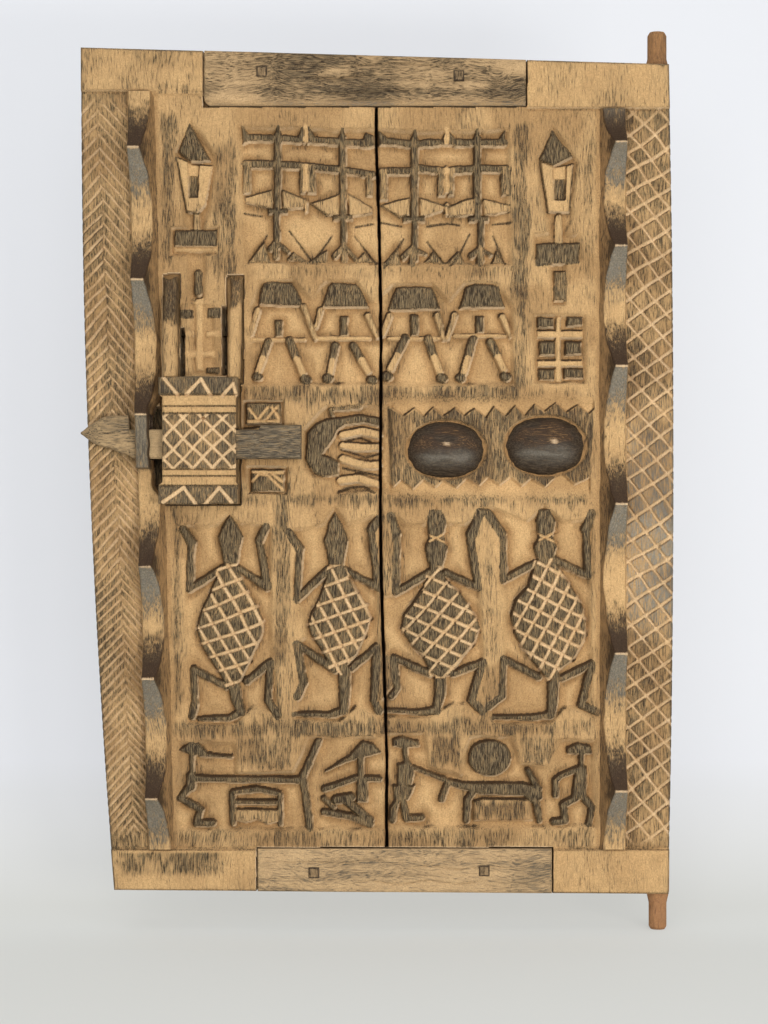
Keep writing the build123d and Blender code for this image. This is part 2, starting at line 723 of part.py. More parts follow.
left_plank.part.label = "left_plank"
right_plank.part.label = "right_plank"
export_step(left_plank.part, "parts/left_plank.step")
export_step(right_plank.part, "parts/right_plank.step")


# ---------------------------------------------------------------- cleats and their pegs
with BuildPart() as top_cleat:
    with BuildSketch(front.offset(cleat_seat_depth)):
        Polygon(
            (top_cleat_left_x, top_cleat_foot_z),
            (top_cleat_right_x, top_cleat_foot_z),
            (top_cleat_right_x, top_edge_z(top_cleat_right_x)),
            (top_cleat_left_x, top_edge_z(top_cleat_left_x)),
        )
    extrude(amount=cleat_thickness)
    chamfer(top_cleat.faces().sort_by(Axis.Y)[0].edges(), cleat_bevel)
    peg_holes(top_peg_places, peg_side + 2 * peg_fit)
top_cleat.part.label = "top_cleat"
export_step(top_cleat.part, "parts/top_cleat.step")

with BuildPart() as bottom_cleat:
    with BuildSketch(front.offset(cleat_seat_depth)):
        Polygon(
            (bottom_cleat_left_x, foot_edge_z(bottom_cleat_left_x)),
            (bottom_cleat_right_x, foot_edge_z(bottom_cleat_right_x)),
            (bottom_cleat_right_x, bottom_cleat_top_z),
            (bottom_cleat_left_x, bottom_cleat_top_z),
        )
    extrude(amount=cleat_thickness)
    chamfer(bottom_cleat.faces().sort_by(Axis.Y)[0].edges(), cleat_bevel)
    peg_holes(bottom_peg_places, peg_side + 2 * peg_fit)
bottom_cleat.part.label = "bottom_cleat"
export_step(bottom_cleat.part, "parts/bottom_cleat.step")

for name, places in (("top_cleat_pegs", top_peg_places), ("bottom_cleat_pegs", bottom_peg_places)):
    with BuildPart() as pegs:
        with BuildSketch(front.offset(back_depth)):
            with Locations(*places):
                Rectangle(peg_side, peg_side)
        extrude(amount=cleat_front_depth + peg_stand_out - back_depth)
        chamfer(pegs.faces().sort_by(Axis.Y)[:2].edges(), peg_stand_out)
    pegs.part.label = name
    export_step(pegs.part, f"parts/{name}.step")

# ---------------------------------------------------------------- lock case
pin_slot_top_z = bolt_top_z + pin_ride + pin_length + pin_lift + pin_slot_spare
head_slot_foot_z = bolt_top_z + pin_ride + pin_length - pin_head_height - pin_drop

with BuildPart() as lock_case:
    with BuildSketch(front.offset(ground_depth)):
        box_face(case_left_x, case_foot_z, case_right_x, case_top_z)
    extrude(amount=case_front_depth - ground_depth)
    fillet(lock_case.edges().filter_by(Axis.Z).sort_by(Axis.Y)[:2], case_round)
    # horns rising from the top of the case, lower towards their tips
    for horn_x in (case_left_x + horn_inset + horn_width / 2, case_right_x - horn_width / 2 + horn_inset):
        with BuildSketch(Plane.YZ.offset(horn_x - horn_width / 2)):
            Polygon(
                (-ground_depth, case_top_z),
                (-horn_front_depth, case_top_z),
                (-horn_front_depth, case_top_z + horn_length * horn_shoulder_share),
                (-surface_depth - horn_tip_rise, case_top_z + horn_length),
                (-ground_depth, case_top_z + horn_length),
            )
        extrude(amount=horn_width)
    # plain ridges between the bands and the panel
    band_edges = [case_foot_z + band_height, case_top_z - band_height]
    for edge_z, direction in zip(band_edges, (1, -1)):
        for step in (0, 1, 2):
            groove_z = edge_z + direction * step * (ridge_height + ridge_groove / 2)
            with BuildSketch(front.offset(case_front_depth - ridge_groove)):
                with Locations((case_centre_x, groove_z)):
                    Rectangle(case_right_x - case_left_x + 2 * cut_past, ridge_groove)
            extrude(amount=ridge_groove + cut_past, mode=Mode.SUBTRACT)
    # tunnel for the bolt
    with BuildSketch(front.offset(bolt_back_depth - bolt_fit)):
        with Locations((case_centre_x, bolt_centre_z)):
            Rectangle(case_right_x - case_left_x + 2 * cut_past, bolt_height + 2 * bolt_fit)
    extrude(amount=bolt_thickness + 2 * bolt_fit, mode=Mode.SUBTRACT)
    # upright slots for the pins and their heads, cut in from the back
    for pin_x in pin_xs:
        with BuildSketch(front.offset(ground_depth)):
            with Locations((pin_x, (bolt_top_z + pin_slot_top_z) / 2)):
                Rectangle(2 * (pin_radius + pin_fit), pin_slot_top_z - bolt_top_z)
        extrude(amount=pin_depth + pin_radius + pin_fit - ground_depth, mode=Mode.SUBTRACT)
        with BuildSketch(front.offset(ground_depth)):
            with Locations((pin_x, (head_slot_foot_z + pin_slot_top_z) / 2)):
                Rectangle(2 * (pin_head_radius + pin_fit), pin_slot_top_z - head_slot_foot_z)
        extrude(amount=pin_depth + pin_head_radius + pin_fit - ground_depth, mode=Mode.SUBTRACT)
    # blind holes for the case's own pegs
    with BuildSketch(front.offset(ground_depth)):
        with Locations(*case_peg_places):
            Circle(case_peg_radius + peg_fit)
    extrude(amount=case_peg_bite, mode=Mode.SUBTRACT)
lock_case.part.label = "lock_case"
export_step(lock_case.part, "parts/lock_case.step")

with BuildPart() as lock_case_pegs:
    with BuildSketch(front.offset(back_depth)):
        with Locations(*case_peg_places):
            Circle(case_peg_radius)
    extrude(amount=ground_depth + case_peg_bite - back_depth)
lock_case_pegs.part.label = "lock_case_pegs"
export_step(lock_case_pegs.part, "parts/lock_case_pegs.step")

# ---------------------------------------------------------------- bolt
rim_wall_x = between(bolt_foot_z + head_height, left_rim_foot_x, left_rim_top_x)
shoulder_x = rim_wall_x - bolt_fit
tip_x = shoulder_x - head_length
tip_z = bolt_foot_z + head_height * head_tip_share
bend_x = shoulder_x - head_length * head_bend_share
head_top_z = bolt_foot_z + head_height

with BuildPart() as lock_bolt:
    with BuildSketch(front.offset(bolt_back_depth)):
        box_face(shoulder_x, bolt_foot_z, bolt_tail_x, bolt_top_z)
        box_face(stop_x, bolt_centre_z, bolt_tail_x, bolt_top_z + bolt_step)
        with BuildLine():
            ThreePointArc((shoulder_x, head_top_z), (bend_x, head_top_z - head_top_bend),
                          (tip_x, tip_z + tip_height / 2))
            Line((tip_x, tip_z + tip_height / 2), (tip_x, tip_z - tip_height / 2))
            ThreePointArc((tip_x, tip_z - tip_height / 2), (bend_x, bolt_foot_z + head_foot_bend),
                          (shoulder_x, bolt_foot_z))
            Line((shoulder_x, bolt_foot_z), (shoulder_x, head_top_z))
        make_face()
    extrude(amount=bolt_thickness)
    chamfer(lock_bolt.faces().sort_by(Axis.Y)[0].edges().filter_by(Axis.X), bolt_edge)
    # key way along the back, open at the tail
    key_way_end_x = pin_xs[0] + bolt_travel - pin_radius - key_way_end_wall
    with BuildSketch(front.offset(bolt_back_depth)):
        with Locations(((key_way_end_x + bolt_tail_x) / 2, bolt_centre_z)):
            Rectangle(bolt_tail_x - key_way_end_x, key_way_height)
    extrude(amount=key_way_depth, mode=Mode.SUBTRACT)
    # holes that the pins drop into when the bolt is shut
    with BuildSketch(Plane.XY.offset(bolt_centre_z)):
        with Locations(*[(pin_x + bolt_travel, -pin_depth) for pin_x in pin_xs]):
            Circle(pin_radius + pin_hole_fit)
    extrude(amount=bolt_height / 2 + bolt_step, mode=Mode.SUBTRACT)
lock_bolt.part.label = "lock_bolt"
export_step(lock_bolt.part, "parts/lock_bolt.step")

# ---------------------------------------------------------------- pins of the lock
for number, pin_x in enumerate(pin_xs, start=1):
    with BuildPart() as pin:
        with BuildSketch(Plane.XY.offset(bolt_top_z + pin_ride)):
            with Locations((pin_x, -pin_depth)):
                Circle(pin_radius)
        extrude(amount=pin_length)
        with BuildSketch(Plane.XY.offset(bolt_top_z + pin_ride + pin_length - pin_head_height)):
            with Locations((pin_x, -pin_depth)):
                Circle(pin_head_radius)
        extrude(amount=pin_head_height)
        chamfer(pin.faces().sort_by(Axis.Z)[0].edges(), pin_point)
    pin.part.label = f"tumbler_{number}"
    export_step(pin.part, f"parts/tumbler_{number}.step")
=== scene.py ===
import math

import bpy
import numpy as np
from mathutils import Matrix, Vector


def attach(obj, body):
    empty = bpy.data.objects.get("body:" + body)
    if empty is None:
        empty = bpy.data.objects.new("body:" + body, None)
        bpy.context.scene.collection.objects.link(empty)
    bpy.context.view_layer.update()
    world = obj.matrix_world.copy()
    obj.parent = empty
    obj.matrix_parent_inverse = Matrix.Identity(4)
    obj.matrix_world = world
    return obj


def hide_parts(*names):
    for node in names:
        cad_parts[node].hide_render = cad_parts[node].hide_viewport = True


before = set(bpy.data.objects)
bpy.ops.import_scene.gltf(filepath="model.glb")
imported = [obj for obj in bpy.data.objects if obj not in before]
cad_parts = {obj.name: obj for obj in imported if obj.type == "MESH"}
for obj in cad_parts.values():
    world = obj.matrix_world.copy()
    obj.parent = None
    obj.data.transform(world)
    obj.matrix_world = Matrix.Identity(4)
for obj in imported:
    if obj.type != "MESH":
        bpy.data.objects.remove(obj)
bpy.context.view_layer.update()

# Carved granary door. Lengths in this file are millimetres and become metres where a mesh is made.
# X runs to the right seen from the front, Z up. A depth is measured forward from the pivot axis, so it is -Y.
MM = 0.001

# depths of the faces
BACK = -12.0
SURFACE = 13.0  # the planks' old surface
RAIL = 15.0
CLEAT = 17.0
HOUSING = 2.9  # floor of the housings that the cleats lie in
CASE_SEAT = 7.9  # flat place under the case and its horns
CASE_BACK = 8.2
CASE_FRONT = 33.0
BOLT_BACK = 13.5
BOLT_FRONT = 25.0
BRIDGE = 31.0  # the rim where it runs over the bolt
CREST = 32.8  # the rims' thorns
FIELD_CUT = 5.0  # how deep a sunk field is cut

# the door's outline, seen from the front
FOOT_Z, TOP_Z = 30.0, 662.0
FREE_FOOT_X, FREE_TOP_X, FREE_BULGE = -409.5, -434.5, 26.0
HINGE_X, HINGE_BULGE = 6.5, 16.0
SEAM_FOOT_X, SEAM_TOP_X = -204.5, -213.5
TOP_DROP, FOOT_DROP = 12.5, 3.0  # how far the upper and lower edge fall towards the hinge side

# the carved strips outside the rims, and where the plain rails begin
STRIP_FOOT = 61.0
FREE_STRIP_TOP, HINGE_STRIP_TOP = 629.0, 616.0
FREE_RIM_TOP, HINGE_RIM_TOP = 628.6, 615.6
FREE_RAIL_X, HINGE_RAIL_X = -343, -100  # ends of the top rails, at the cleat
FOOT_RAIL_X = (-300, -83)

# the cleats, the housings they lie in, and the run of the bolt
TOP_CLEAT_X, TOP_CLEAT_Z = (-341.6, -100.7), 618.2
FOOT_CLEAT_X, FOOT_CLEAT_Z = (-301.6, -81.3), 61.2
TOP_HOUSING_X, TOP_HOUSING_Z = (-342.4, -100.1), 617.8
FOOT_HOUSING_X, FOOT_HOUSING_Z = (-302.4, -80.6), 61.7
BOLT_RUN_Z, BOLT_RUN_X = (350, 388), -265
HORN_FOOT = 413.0


# ---------------------------------------------------------------- small helpers
def smooth(low, high, value):
    """0 below low, 1 above high, and a soft rise between."""
    share = np.clip((value - low) / (high - low), 0.0, 1.0)
    return share * share * (3.0 - 2.0 * share)


bumps = np.random.RandomState(11).rand(512, 512)


def noise(x, z, across, along, seed=0):
    """Soft bumps about this wide and this tall, from 0 to 1."""
    u = x / across + 37.7 * seed + 100.0
    v = z / along + 91.3 * seed + 100.0
    i = np.floor(u).astype(int)
    j = np.floor(v).astype(int)
    fu = u - i
    fv = v - j
    fu = fu * fu * (3 - 2 * fu)
    fv = fv * fv * (3 - 2 * fv)
    a = bumps[i % 512, j % 512]
    b = bumps[(i + 1) % 512, j % 512]
    c = bumps[i % 512, (j + 1) % 512]
    d = bumps[(i + 1) % 512, (j + 1) % 512]
    return (a * (1 - fu) + b * fu) * (1 - fv) + (c * (1 - fu) + d * fu) * fv


def uneven(x, z, across, along, seed, amount):
    """Soft bumps that rise and fall by half the amount."""
    return (noise(x, z, across, along, seed) - 0.5) * amount


def within(rise_low, rise_high, fall_low, fall_high, value):
    """0 outside a range, 1 inside it, and soft at both ends."""
    return smooth(rise_low, rise_high, value) * (1 - smooth(fall_low, fall_high, value))


def peak(off, width):
    """1 where off is 0, and less to both sides."""
    return np.exp(-(off / width) ** 2)


def segment_distance(x, z, start, end, start_width=0.0, end_width=0.0):
    """Distance to a straight stroke whose width may change along it."""
    dx = end[0] - start[0]
    dz = end[1] - start[1]
    t = np.clip(((x - start[0]) * dx + (z - start[1]) * dz) / (dx * dx + dz * dz + 1e-9), 0, 1)
    return np.hypot(x - start[0] - t * dx, z - start[1] - t * dz) - (start_width + t * (end_width - start_width)) / 2


def line_distance(x, z, points, widths):
    return np.minimum.reduce([segment_distance(x, z, a, b, v, w)
                              for a, b, v, w in zip(points, points[1:], widths, widths[1:])])


def plate_distance(x, z, points):
    """Distance to an outline, less than 0 inside it."""
    inside = np.zeros(x.shape, bool)
    nearest = np.full(x.shape, 1e3)
    for (x0, z0), (x1, z1) in zip(points, points[1:] + points[:1]):
        nearest = np.minimum(nearest, segment_distance(x, z, (x0, z0), (x1, z1)))
        rise = z1 - z0 if abs(z1 - z0) > 1e-9 else 1e-9
        inside ^= ((z0 > z) != (z1 > z)) & (x < (x1 - x0) * (z - z0) / rise + x0)
    return np.where(inside, -nearest, nearest)


def constant(value):
    """An edge or an end that stays at one value."""
    return lambda other: value + 0.0 * other


def between(z, foot_value, top_value):
    """A value that changes evenly from the door's foot to its top."""
    return foot_value + (top_value - foot_value) * (z - FOOT_Z) / (TOP_Z - FOOT_Z)


def free_edge(z):
    share = between(z, 0, 1)
    return between(z, FREE_FOOT_X, FREE_TOP_X) - FREE_BULGE * share * (1 - share)


def hinge_edge(z):
    share = between(z, 0, 1)
    return HINGE_X + HINGE_BULGE * share * (1 - share)


def seam(z):
    sway = 1.2 * np.sin(z / 61.0) * within(70, 140, 560, 620, z)
    return between(z, SEAM_FOOT_X, SEAM_TOP_X) + sway


def top_edge(x):
    return TOP_Z - TOP_DROP * (x - FREE_TOP_X) / (HINGE_X - FREE_TOP_X)


def foot_edge(x):
    return FOOT_Z - FOOT_DROP * (x - FREE_FOOT_X) / (HINGE_X - FREE_FOOT_X)


def left_rim_outer(z):
    return between(z, -383.0, -400.5)


def right_rim_outer(z):
    return -25.5 + 0.0 * z


# ---------------------------------------------------------------- what is carved
# The ground of every field is cut down from the old surface, and the figures are left standing in it.
grounds = []
figures = []
grooves = []
pits = []
hatchings = []
teeth = []


def ground(points, depth=FIELD_CUT, wall=4.5):
    """A field that is cut down inside an outline."""
    grounds.append({"plate": points, "depth": depth, "wall": wall})


def shifted(points, by_x, by_z):
    return [(x + by_x, z + by_z) for x, z in points]


def corners(low_x, low_z, high_x, high_z):
    return [(low_x, low_z), (high_x, low_z), (high_x, high_z), (low_x, high_z)]


def plate(points, tone=1.0, drop=0.0, crown=0.0):
    """A figure left standing inside an outline: how worn it is, and how far it lies under the old surface."""
    figures.append({"plate": points, "tone": tone, "drop": drop, "crown": crown})


def block(low_x, low_z, high_x, high_z, tone=1.0, drop=0.0):
    plate(corners(low_x, low_z, high_x, high_z), tone, drop)


def bar(points, width=4.5, tone=1.0, drop=0.0, end_width=None):
    """A figure left standing along a line, as a limb or a staff."""
    last = width if end_width is None else end_width
    widths = [width + (last - width) * i / (len(points) - 1) for i in range(len(points))]
    figures.append({"line": points, "widths": widths, "reach": max(widths), "tone": tone, "drop": drop, "crown": 0.0})


# tone is how dark the groove is painted; the dark ones are painted shade in the crease
def groove(points, width=2.0, depth=1.6, tone=0.0):
    grooves.append({"line": points, "width": width, "reach": width, "depth": depth, "tone": tone})


def pit(points, depth, tone=0.0, wall=1.2, fade=None):
    pits.append({"plate": points, "depth": depth, "tone": tone, "wall": wall, "fade": fade})


def hatching(points, angle, pitch, phase, width=2.35, depth=1.4):
    """Parallel grooves across a plate, at an angle from level."""
    hatchings.append({"plate": points, "angle": math.radians(angle), "pitch": pitch, "phase": phase,
                      "width": width, "depth": depth})


def zigzag(points, far_z, depth, fade):
    """A row of teeth: the wood beyond them is cut down, and rises again towards far_z."""
    pit(points + [(points[-1][0], far_z), (points[0][0], far_z)], depth, fade=fade)
    teeth.append(points)


# the sunk fields
for outline in (
    [(-363, 303), (-356, 288), (-358, 240), (-353, 176), (-356, 154), (-318, 153), (-303, 166), (-284, 158),
     (-289, 200), (-290.5, 262), (-291, 303), (-314, 306), (-323, 314), (-333, 306)],
    [(-283, 300), (-275, 285), (-277, 248), (-269, 242), (-268.5, 220), (-276, 214), (-272, 186), (-276, 157),
     (-240, 156), (-228, 166), (-214, 160), (-211, 172), (-211, 258), (-214, 300), (-211, 312), (-234, 306),
     (-244, 317), (-253, 306)],
    [(-200.5, 313), (-200.5, 253), (-210, 250), (-210, 207), (-201, 204), (-201, 186), (-210, 172), (-210, 158),
     (-172, 158), (-157, 168), (-147, 168), (-137, 160), (-130, 163), (-138, 173), (-131, 200), (-133.5, 258),
     (-139, 292), (-133, 316), (-147, 306), (-158, 306), (-168, 319), (-178, 306), (-190, 306)],
    [(-137, 317), (-121, 299), (-121, 262), (-118, 256), (-118, 208), (-121, 202), (-121.5, 176), (-131, 167),
     (-125, 154), (-80, 154), (-72, 164), (-62, 164), (-47, 159), (-52, 172), (-48, 200), (-51, 214), (-50, 266),
     (-51, 300), (-48, 314), (-58, 308), (-72, 308), (-87, 320), (-100, 308), (-124, 317)],
    [(-309, 466), (-302, 488), (-275, 489), (-262, 476), (-250, 488), (-228, 488), (-217, 474), (-200, 474),
     (-200, 408), (-309, 408)],
    [(-216, 474), (-201, 485), (-170, 486), (-159, 474), (-147, 487), (-122, 487), (-109, 466), (-108, 408),
     (-216, 408)],
    [(-317, 604), (-200, 601), (-200, 499), (-312, 499)],
    [(-220, 601), (-113, 601), (-110, 498), (-220, 498)],
    [(-363, 142), (-318, 142), (-316, 119), (-276, 119), (-266, 146), (-200, 146), (-200, 74), (-363, 74)],
    [(-216, 148), (-176, 148), (-172, 124), (-150, 117), (-145, 146), (-110, 146), (-104, 126), (-84, 124),
     (-76, 143), (-47, 143), (-47, 76), (-216, 76)],
    [(-269, 345), (-270, 376), (-258, 389), (-250, 394), (-200, 394), (-200, 327), (-244, 327), (-247, 337),
     (-262, 339)],
):
    ground(outline)
hood_field = [(-2, 49), (-16, 24), (-9, -20), (-7, -32), (-18, -32), (-18, -54), (-5, -54), (-5, -89), (9, -89),
              (9, -54), (19, -54), (19, -32), (10, -32), (13, -20), (18, 20)]
for centre_x, centre_z in ((-350, 560), (-78, 556)):
    ground(shifted(hood_field, centre_x, centre_z))
ground(corners(-95, 409, -54.5, 462))
for centre_x, centre_z in ((-297.5, 387), (-294.5, 337)):
    ground(corners(centre_x - 15.5, centre_z - 10.5, centre_x + 15.5, centre_z + 10.5), wall=2.5)
islands = [[(-139, 82), (-139, 96), (-133, 98), (-98, 97), (-96, 82)]]
for outline in (corners(-365, 408, -358, 470), corners(-353, 415, -333, 470)):
    ground(outline, 3.2, 4.0)

# where the clay has worn off the old surface in streaks: low x, low z, high x, high z and how far
weathered = [
    (-376, 500, -363, 614, 0.60), (-336, 488, -316, 592, 0.62), (-112, 404, -97, 604, 0.62),
    (-60, 470, -46, 600, 0.42), (-100, 560, -94, 604, 0.40), (-367, 158, -358, 322, 0.80),
    (-374, 160, -367, 322, 0.35), (-291, 196, -276, 334, 0.72), (-290, 148, -280, 200, 0.60),
    (-214, 166, -200, 316, 0.55), (-136, 200, -118, 256, 0.40), (-132, 258, -121, 300, 0.40),
    (-136, 150, -120, 200, 0.45),
    (-54, 150, -46, 320, 0.45), (-312, 394, -104, 408, 0.72), (-104, 397, -50, 408, 0.35),
    (-372, 318, -50, 328, 0.62), (-372, 144, -50, 158, 0.66), (-372, 61, -50, 76, 0.58),
    (-318, 120, -274, 146, 0.60), (-174, 122, -146, 148, 0.62), (-106, 124, -78, 148, 0.60),
    (-138, 82, -98, 97, 0.75), (-312, 488, -104, 499, 0.35), (-204, 338, -50, 386, 0.78),
    (-300, 602, -104, 618, 0.22),
]

# four turtles
turtle_bodies = [
    [(-329, 273), (-337.4, 252.2), (-344, 239), (-347.3, 225.8), (-344, 213.7), (-334.1, 198.2), (-324.2, 183.4),
     (-315.4, 186.2), (-305.5, 207), (-298.9, 221.4), (-297.8, 231.3), (-302.2, 242.3), (-308.8, 251),
     (-317.6, 273)],
    [(-247.5, 272), (-254.8, 250), (-261.4, 236.8), (-263.3, 229), (-261.4, 221.4), (-253.2, 209.3),
     (-246.6, 197.2), (-238.9, 192.8), (-227.9, 206), (-220.1, 223.6), (-217.1, 234.6), (-220.1, 243.4),
     (-227.9, 254.4), (-238, 272)],
    [(-171.5, 271), (-177, 257.7), (-184.7, 245.6), (-191.9, 235.7), (-194.1, 225.8), (-184.7, 212.6),
     (-175.9, 202.7), (-170.4, 190.6), (-157.2, 190.6), (-148.4, 203.8), (-139.6, 214.8), (-135.3, 226.9),
     (-141.8, 241.2), (-150.6, 252.2), (-160.5, 263), (-165, 271)],
    [(-92, 277), (-99.5, 256.6), (-108.3, 246.7), (-111.6, 234.6), (-107.2, 219.2), (-100.6, 208.2),
     (-90.6, 196.1), (-84, 187.3), (-74.1, 196.1), (-64.2, 203.8), (-56.5, 217), (-55.4, 230), (-58.7, 243.4),
     (-66.4, 256.6), (-75.2, 269.8), (-80, 277)],
]
for body in turtle_bodies:
    plate(body, 0.80, crown=1.6)
plate([(-323, 311), (-327.3, 305), (-331.1, 294.5), (-328.6, 284), (-326, 271), (-317, 271), (-315.6, 284),
       (-313.7, 294.5), (-318.6, 305)], crown=0.8)
plate([(-243.8, 313), (-248, 305), (-251.5, 292), (-249, 281), (-247, 270), (-238, 270), (-236.5, 281),
       (-234.5, 292), (-239, 305)], crown=0.8)
necked_head = [(-4, 314.5), (-6.6, 306), (-4.6, 294), (-8, 286), (-3, 269), (4, 269), (8.4, 286), (5.2, 294),
               (7.6, 306), (3, 314.5)]
for head_x, head_z in ((-168.0, 0.0), (-86.0, 0.6)):
    plate(shifted(necked_head, head_x, head_z), crown=0.6)
    groove(shifted([(-9, 298), (9, 289.5)], head_x, head_z), 1.7, 1.2)
    groove(shifted([(-9, 289.5), (9.5, 298.5)], head_x, head_z), 1.7, 1.2)
for limb in (
    [(-327.5, 271.4), (-352.7, 255.4), (-351.6, 290.6), (-358.2, 300.5)],
    [(-316.5, 271.4), (-294.5, 256.5), (-300.5, 291.7), (-295.6, 302.2)],
    [(-325.3, 182.3), (-350, 195), (-348.9, 170.7), (-351.1, 159.7)],
    [(-309.9, 186.2), (-292.3, 200.4), (-293.9, 171.8), (-286.8, 160.8)],
    [(-248.8, 269.8), (-272.4, 247.8), (-270.2, 285.2), (-278.4, 298.4)],
    [(-237.2, 269.8), (-211.2, 256.6), (-216.9, 300.5), (-211.2, 308.5)],
    [(-243.2, 194.4), (-272.4, 214.2), (-267.4, 185), (-271.8, 175.1)],
    [(-231.7, 196.1), (-212.6, 211.6), (-214.7, 171.8), (-210.6, 164.1)],
    [(-173.2, 267.6), (-197.9, 252.7), (-197.4, 296.2), (-201.9, 310.6)],
    [(-160.5, 267.6), (-136.3, 256.6), (-142.4, 295.1), (-135.3, 313.3), (-128.6, 312.8), (-117.6, 296.3),
     (-117.1, 262.1), (-92.8, 275.3)],
    [(-172.6, 191.7), (-199.5, 203.8), (-196.8, 180.7), (-201.3, 175)],
    [(-155, 191.7), (-133, 200.5), (-141.8, 171.9), (-133, 164)],
    [(-78.5, 277.5), (-53.7, 265.4), (-55.4, 300.6), (-51, 312.7)],
    [(-90.6, 189.5), (-117.1, 202.7), (-118.2, 175.2), (-128.1, 167.5)],
    [(-73, 188.4), (-51, 199.4), (-58.7, 168.6), (-46.6, 163)],
):
    bar(limb, 4.8, 0.85)
for hand in ([(-351.6, 290), (-357.8, 300)], [(-300.5, 291.7), (-296.4, 301.5)], [(-270.6, 286), (-277.6, 297.6)],
             [(-216.5, 300), (-212, 307)], [(-197.6, 297), (-201, 309)], [(-55.4, 300.6), (-51.6, 311.6)],
             [(-141.6, 296), (-135.3, 311)], [(-118.2, 297), (-128.6, 311)]):
    bar(hand, 6.4, 0.9, end_width=4.5)
for tail in (
    [(-319.8, 182.7), (-317.6, 171.8), (-314.3, 163.2), (-322.9, 158.5), (-346, 158)],
    [(-236.9, 194.5), (-236.3, 176.5), (-237.2, 164), (-248, 161), (-273.9, 161.4)],
    [(-164.9, 192.9), (-164.6, 176.5), (-167.5, 164.6), (-178, 163), (-204.4, 164.1)],
    [(-79.6, 189.7), (-80, 171), (-81.6, 160.7), (-96, 158.8), (-124.7, 159.2)],
):
    bar(tail, 8.6, 0.85, end_width=2.6)
for body, *sets in zip(turtle_bodies,
                       ((19, 12.0, 3.0), (20, 11.5, 0.0), (-25, 11.0, 4.0), (-27, 10.5, 1.0)),
                       ((-60, 10.5, 2.0), (-62, 10.0, 6.0), (48, 11.5, 1.0), (62, 10.0, 3.0))):
    for angle, pitch, phase in sets:
        hatching(body, angle, pitch, phase)

# four dancers, in skirts that hang from their shoulders
for hat in (
    [(-297, 485.3), (-290.8, 486.4), (-276.5, 485), (-273.4, 480.1), (-268.2, 468.3), (-300.8, 469.4),
     (-298.8, 481.2)],
    [(-248.5, 482.6), (-245.7, 485.3), (-228.4, 484.3), (-224.9, 480.5), (-219.3, 467.3), (-253.3, 467.3)],
    [(-197.5, 481.2), (-193, 482.2), (-172.2, 482.2), (-170.4, 480.5), (-165.9, 465.9), (-203.4, 465.2)],
    [(-145.5, 481.5), (-138.9, 484), (-125.7, 483.6), (-121.5, 481.5), (-116.7, 467.3), (-150, 466.6)],
):
    plate(hat, 1.0, crown=0.7)
for arm in (
    [(-301.9, 465.2), (-307, 447.2)], [(-267.2, 467.3), (-258.8, 444)], [(-254.7, 465.2), (-258.2, 452.8)],
    [(-219, 461), (-212.5, 445)], [(-167, 461), (-162.5, 443.7)], [(-154, 461.4), (-159.5, 444.1)],
    [(-118, 460), (-112.5, 445.1)], [(-203, 461), (-208, 447)],
):
    bar(arm, 4.6, 0.35, end_width=3.0)
for torso_x, low_z, high_z in ((-286, 445, 457), (-237, 446, 460), (-184, 446, 461), (-135, 448, 460)):
    block(torso_x - 2.5, low_z, torso_x + 2.5, high_z, 0.85)
    bar([(torso_x - 19, low_z - 2), (torso_x + 19, low_z - 2)], 2.6, 0.1, 2.6)
for hip, knee, foot in (
    ((-294, 441), (-301.5, 419), (-302, 414.8)), ((-278, 442), (-268, 417.4), (-265.6, 413)),
    ((-243.5, 438), (-247.6, 418.5), (-249, 413.8)), ((-230, 438), (-219, 418.8), (-216.2, 412.6)),
    ((-191, 443.7), (-202, 421.5), (-204.6, 415)), ((-174, 443), (-165.4, 418.8), (-163.6, 413.8)),
    ((-140, 443), (-147.4, 418), (-149.6, 413.8)), ((-127, 441), (-117.2, 420.8), (-115.8, 415)),
):
    middle = ((hip[0] * 0.4 + knee[0] * 0.6), (hip[1] * 0.4 + knee[1] * 0.6))
    bar([hip, middle], 5.6, 0.80)
    bar([middle, knee], 5.2, 0.16)
    bar([(foot[0] - 0.9, foot[1] + 0.3), (foot[0] + 0.9, foot[1] - 0.3)], 5.8, 0.95)

# four masks with crossed bars, over the dancers that wear them
for bars, width in (
    ([[(-311, 594.6), (-282, 594), (-271, 592.6)], [(-260.7, 593), (-240.8, 591.4), (-218, 589.6)]], 5.0),
    ([[(-208, 592.2), (-187.8, 589.8), (-166, 590.8)], [(-153, 590.6), (-117, 590.8)]], 5.2),
    ([[(-311, 574.8), (-291, 574.6), (-265, 573), (-242, 570.8), (-215.6, 566.8)]], 5.2),
    ([[(-208.5, 569), (-187.8, 569.4), (-180.9, 571.6), (-162.5, 569.4), (-134.2, 571.6), (-114.5, 570.6)]], 5.2),
):
    for run in bars:
        bar(run, width, 0.8, 0.5)
for spike in (
    [(-313.5, 603), (-309, 597), (-303, 594), (-313, 590)],
    [(-272.5, 592), (-268.7, 601.8), (-266.8, 602.2), (-266.8, 590)],
    [(-264.9, 590), (-264.9, 602.2), (-263.4, 602.4), (-257, 592)],
    [(-220.5, 598), (-215.2, 596), (-215, 588), (-224, 588)],
    [(-210.7, 599), (-204, 594), (-203, 589), (-210.5, 589)],
    [(-165, 589), (-162.5, 594), (-160.8, 600), (-160.8, 589)],
    [(-159, 589), (-159, 600), (-156, 596), (-150, 589)],
    [(-121, 592), (-116.4, 599.5), (-116.4, 589), (-121, 589)],
):
    plate(spike, 0.8, 0.4)
for staff_x, foot_x, top, low in ((-286.6, -287.0, 603, 541), (-238.2, -237.6, 601, 537),
                                  (-183.9, -184.2, 599.5, 535), (-136.9, -136.9, 600, 535)):
    bar([(foot_x, low), (staff_x, top - 6)], 4.8, 0.75)
    bar([(staff_x, top - 7), (staff_x, top)], 4.6, 0.85, end_width=1.2)
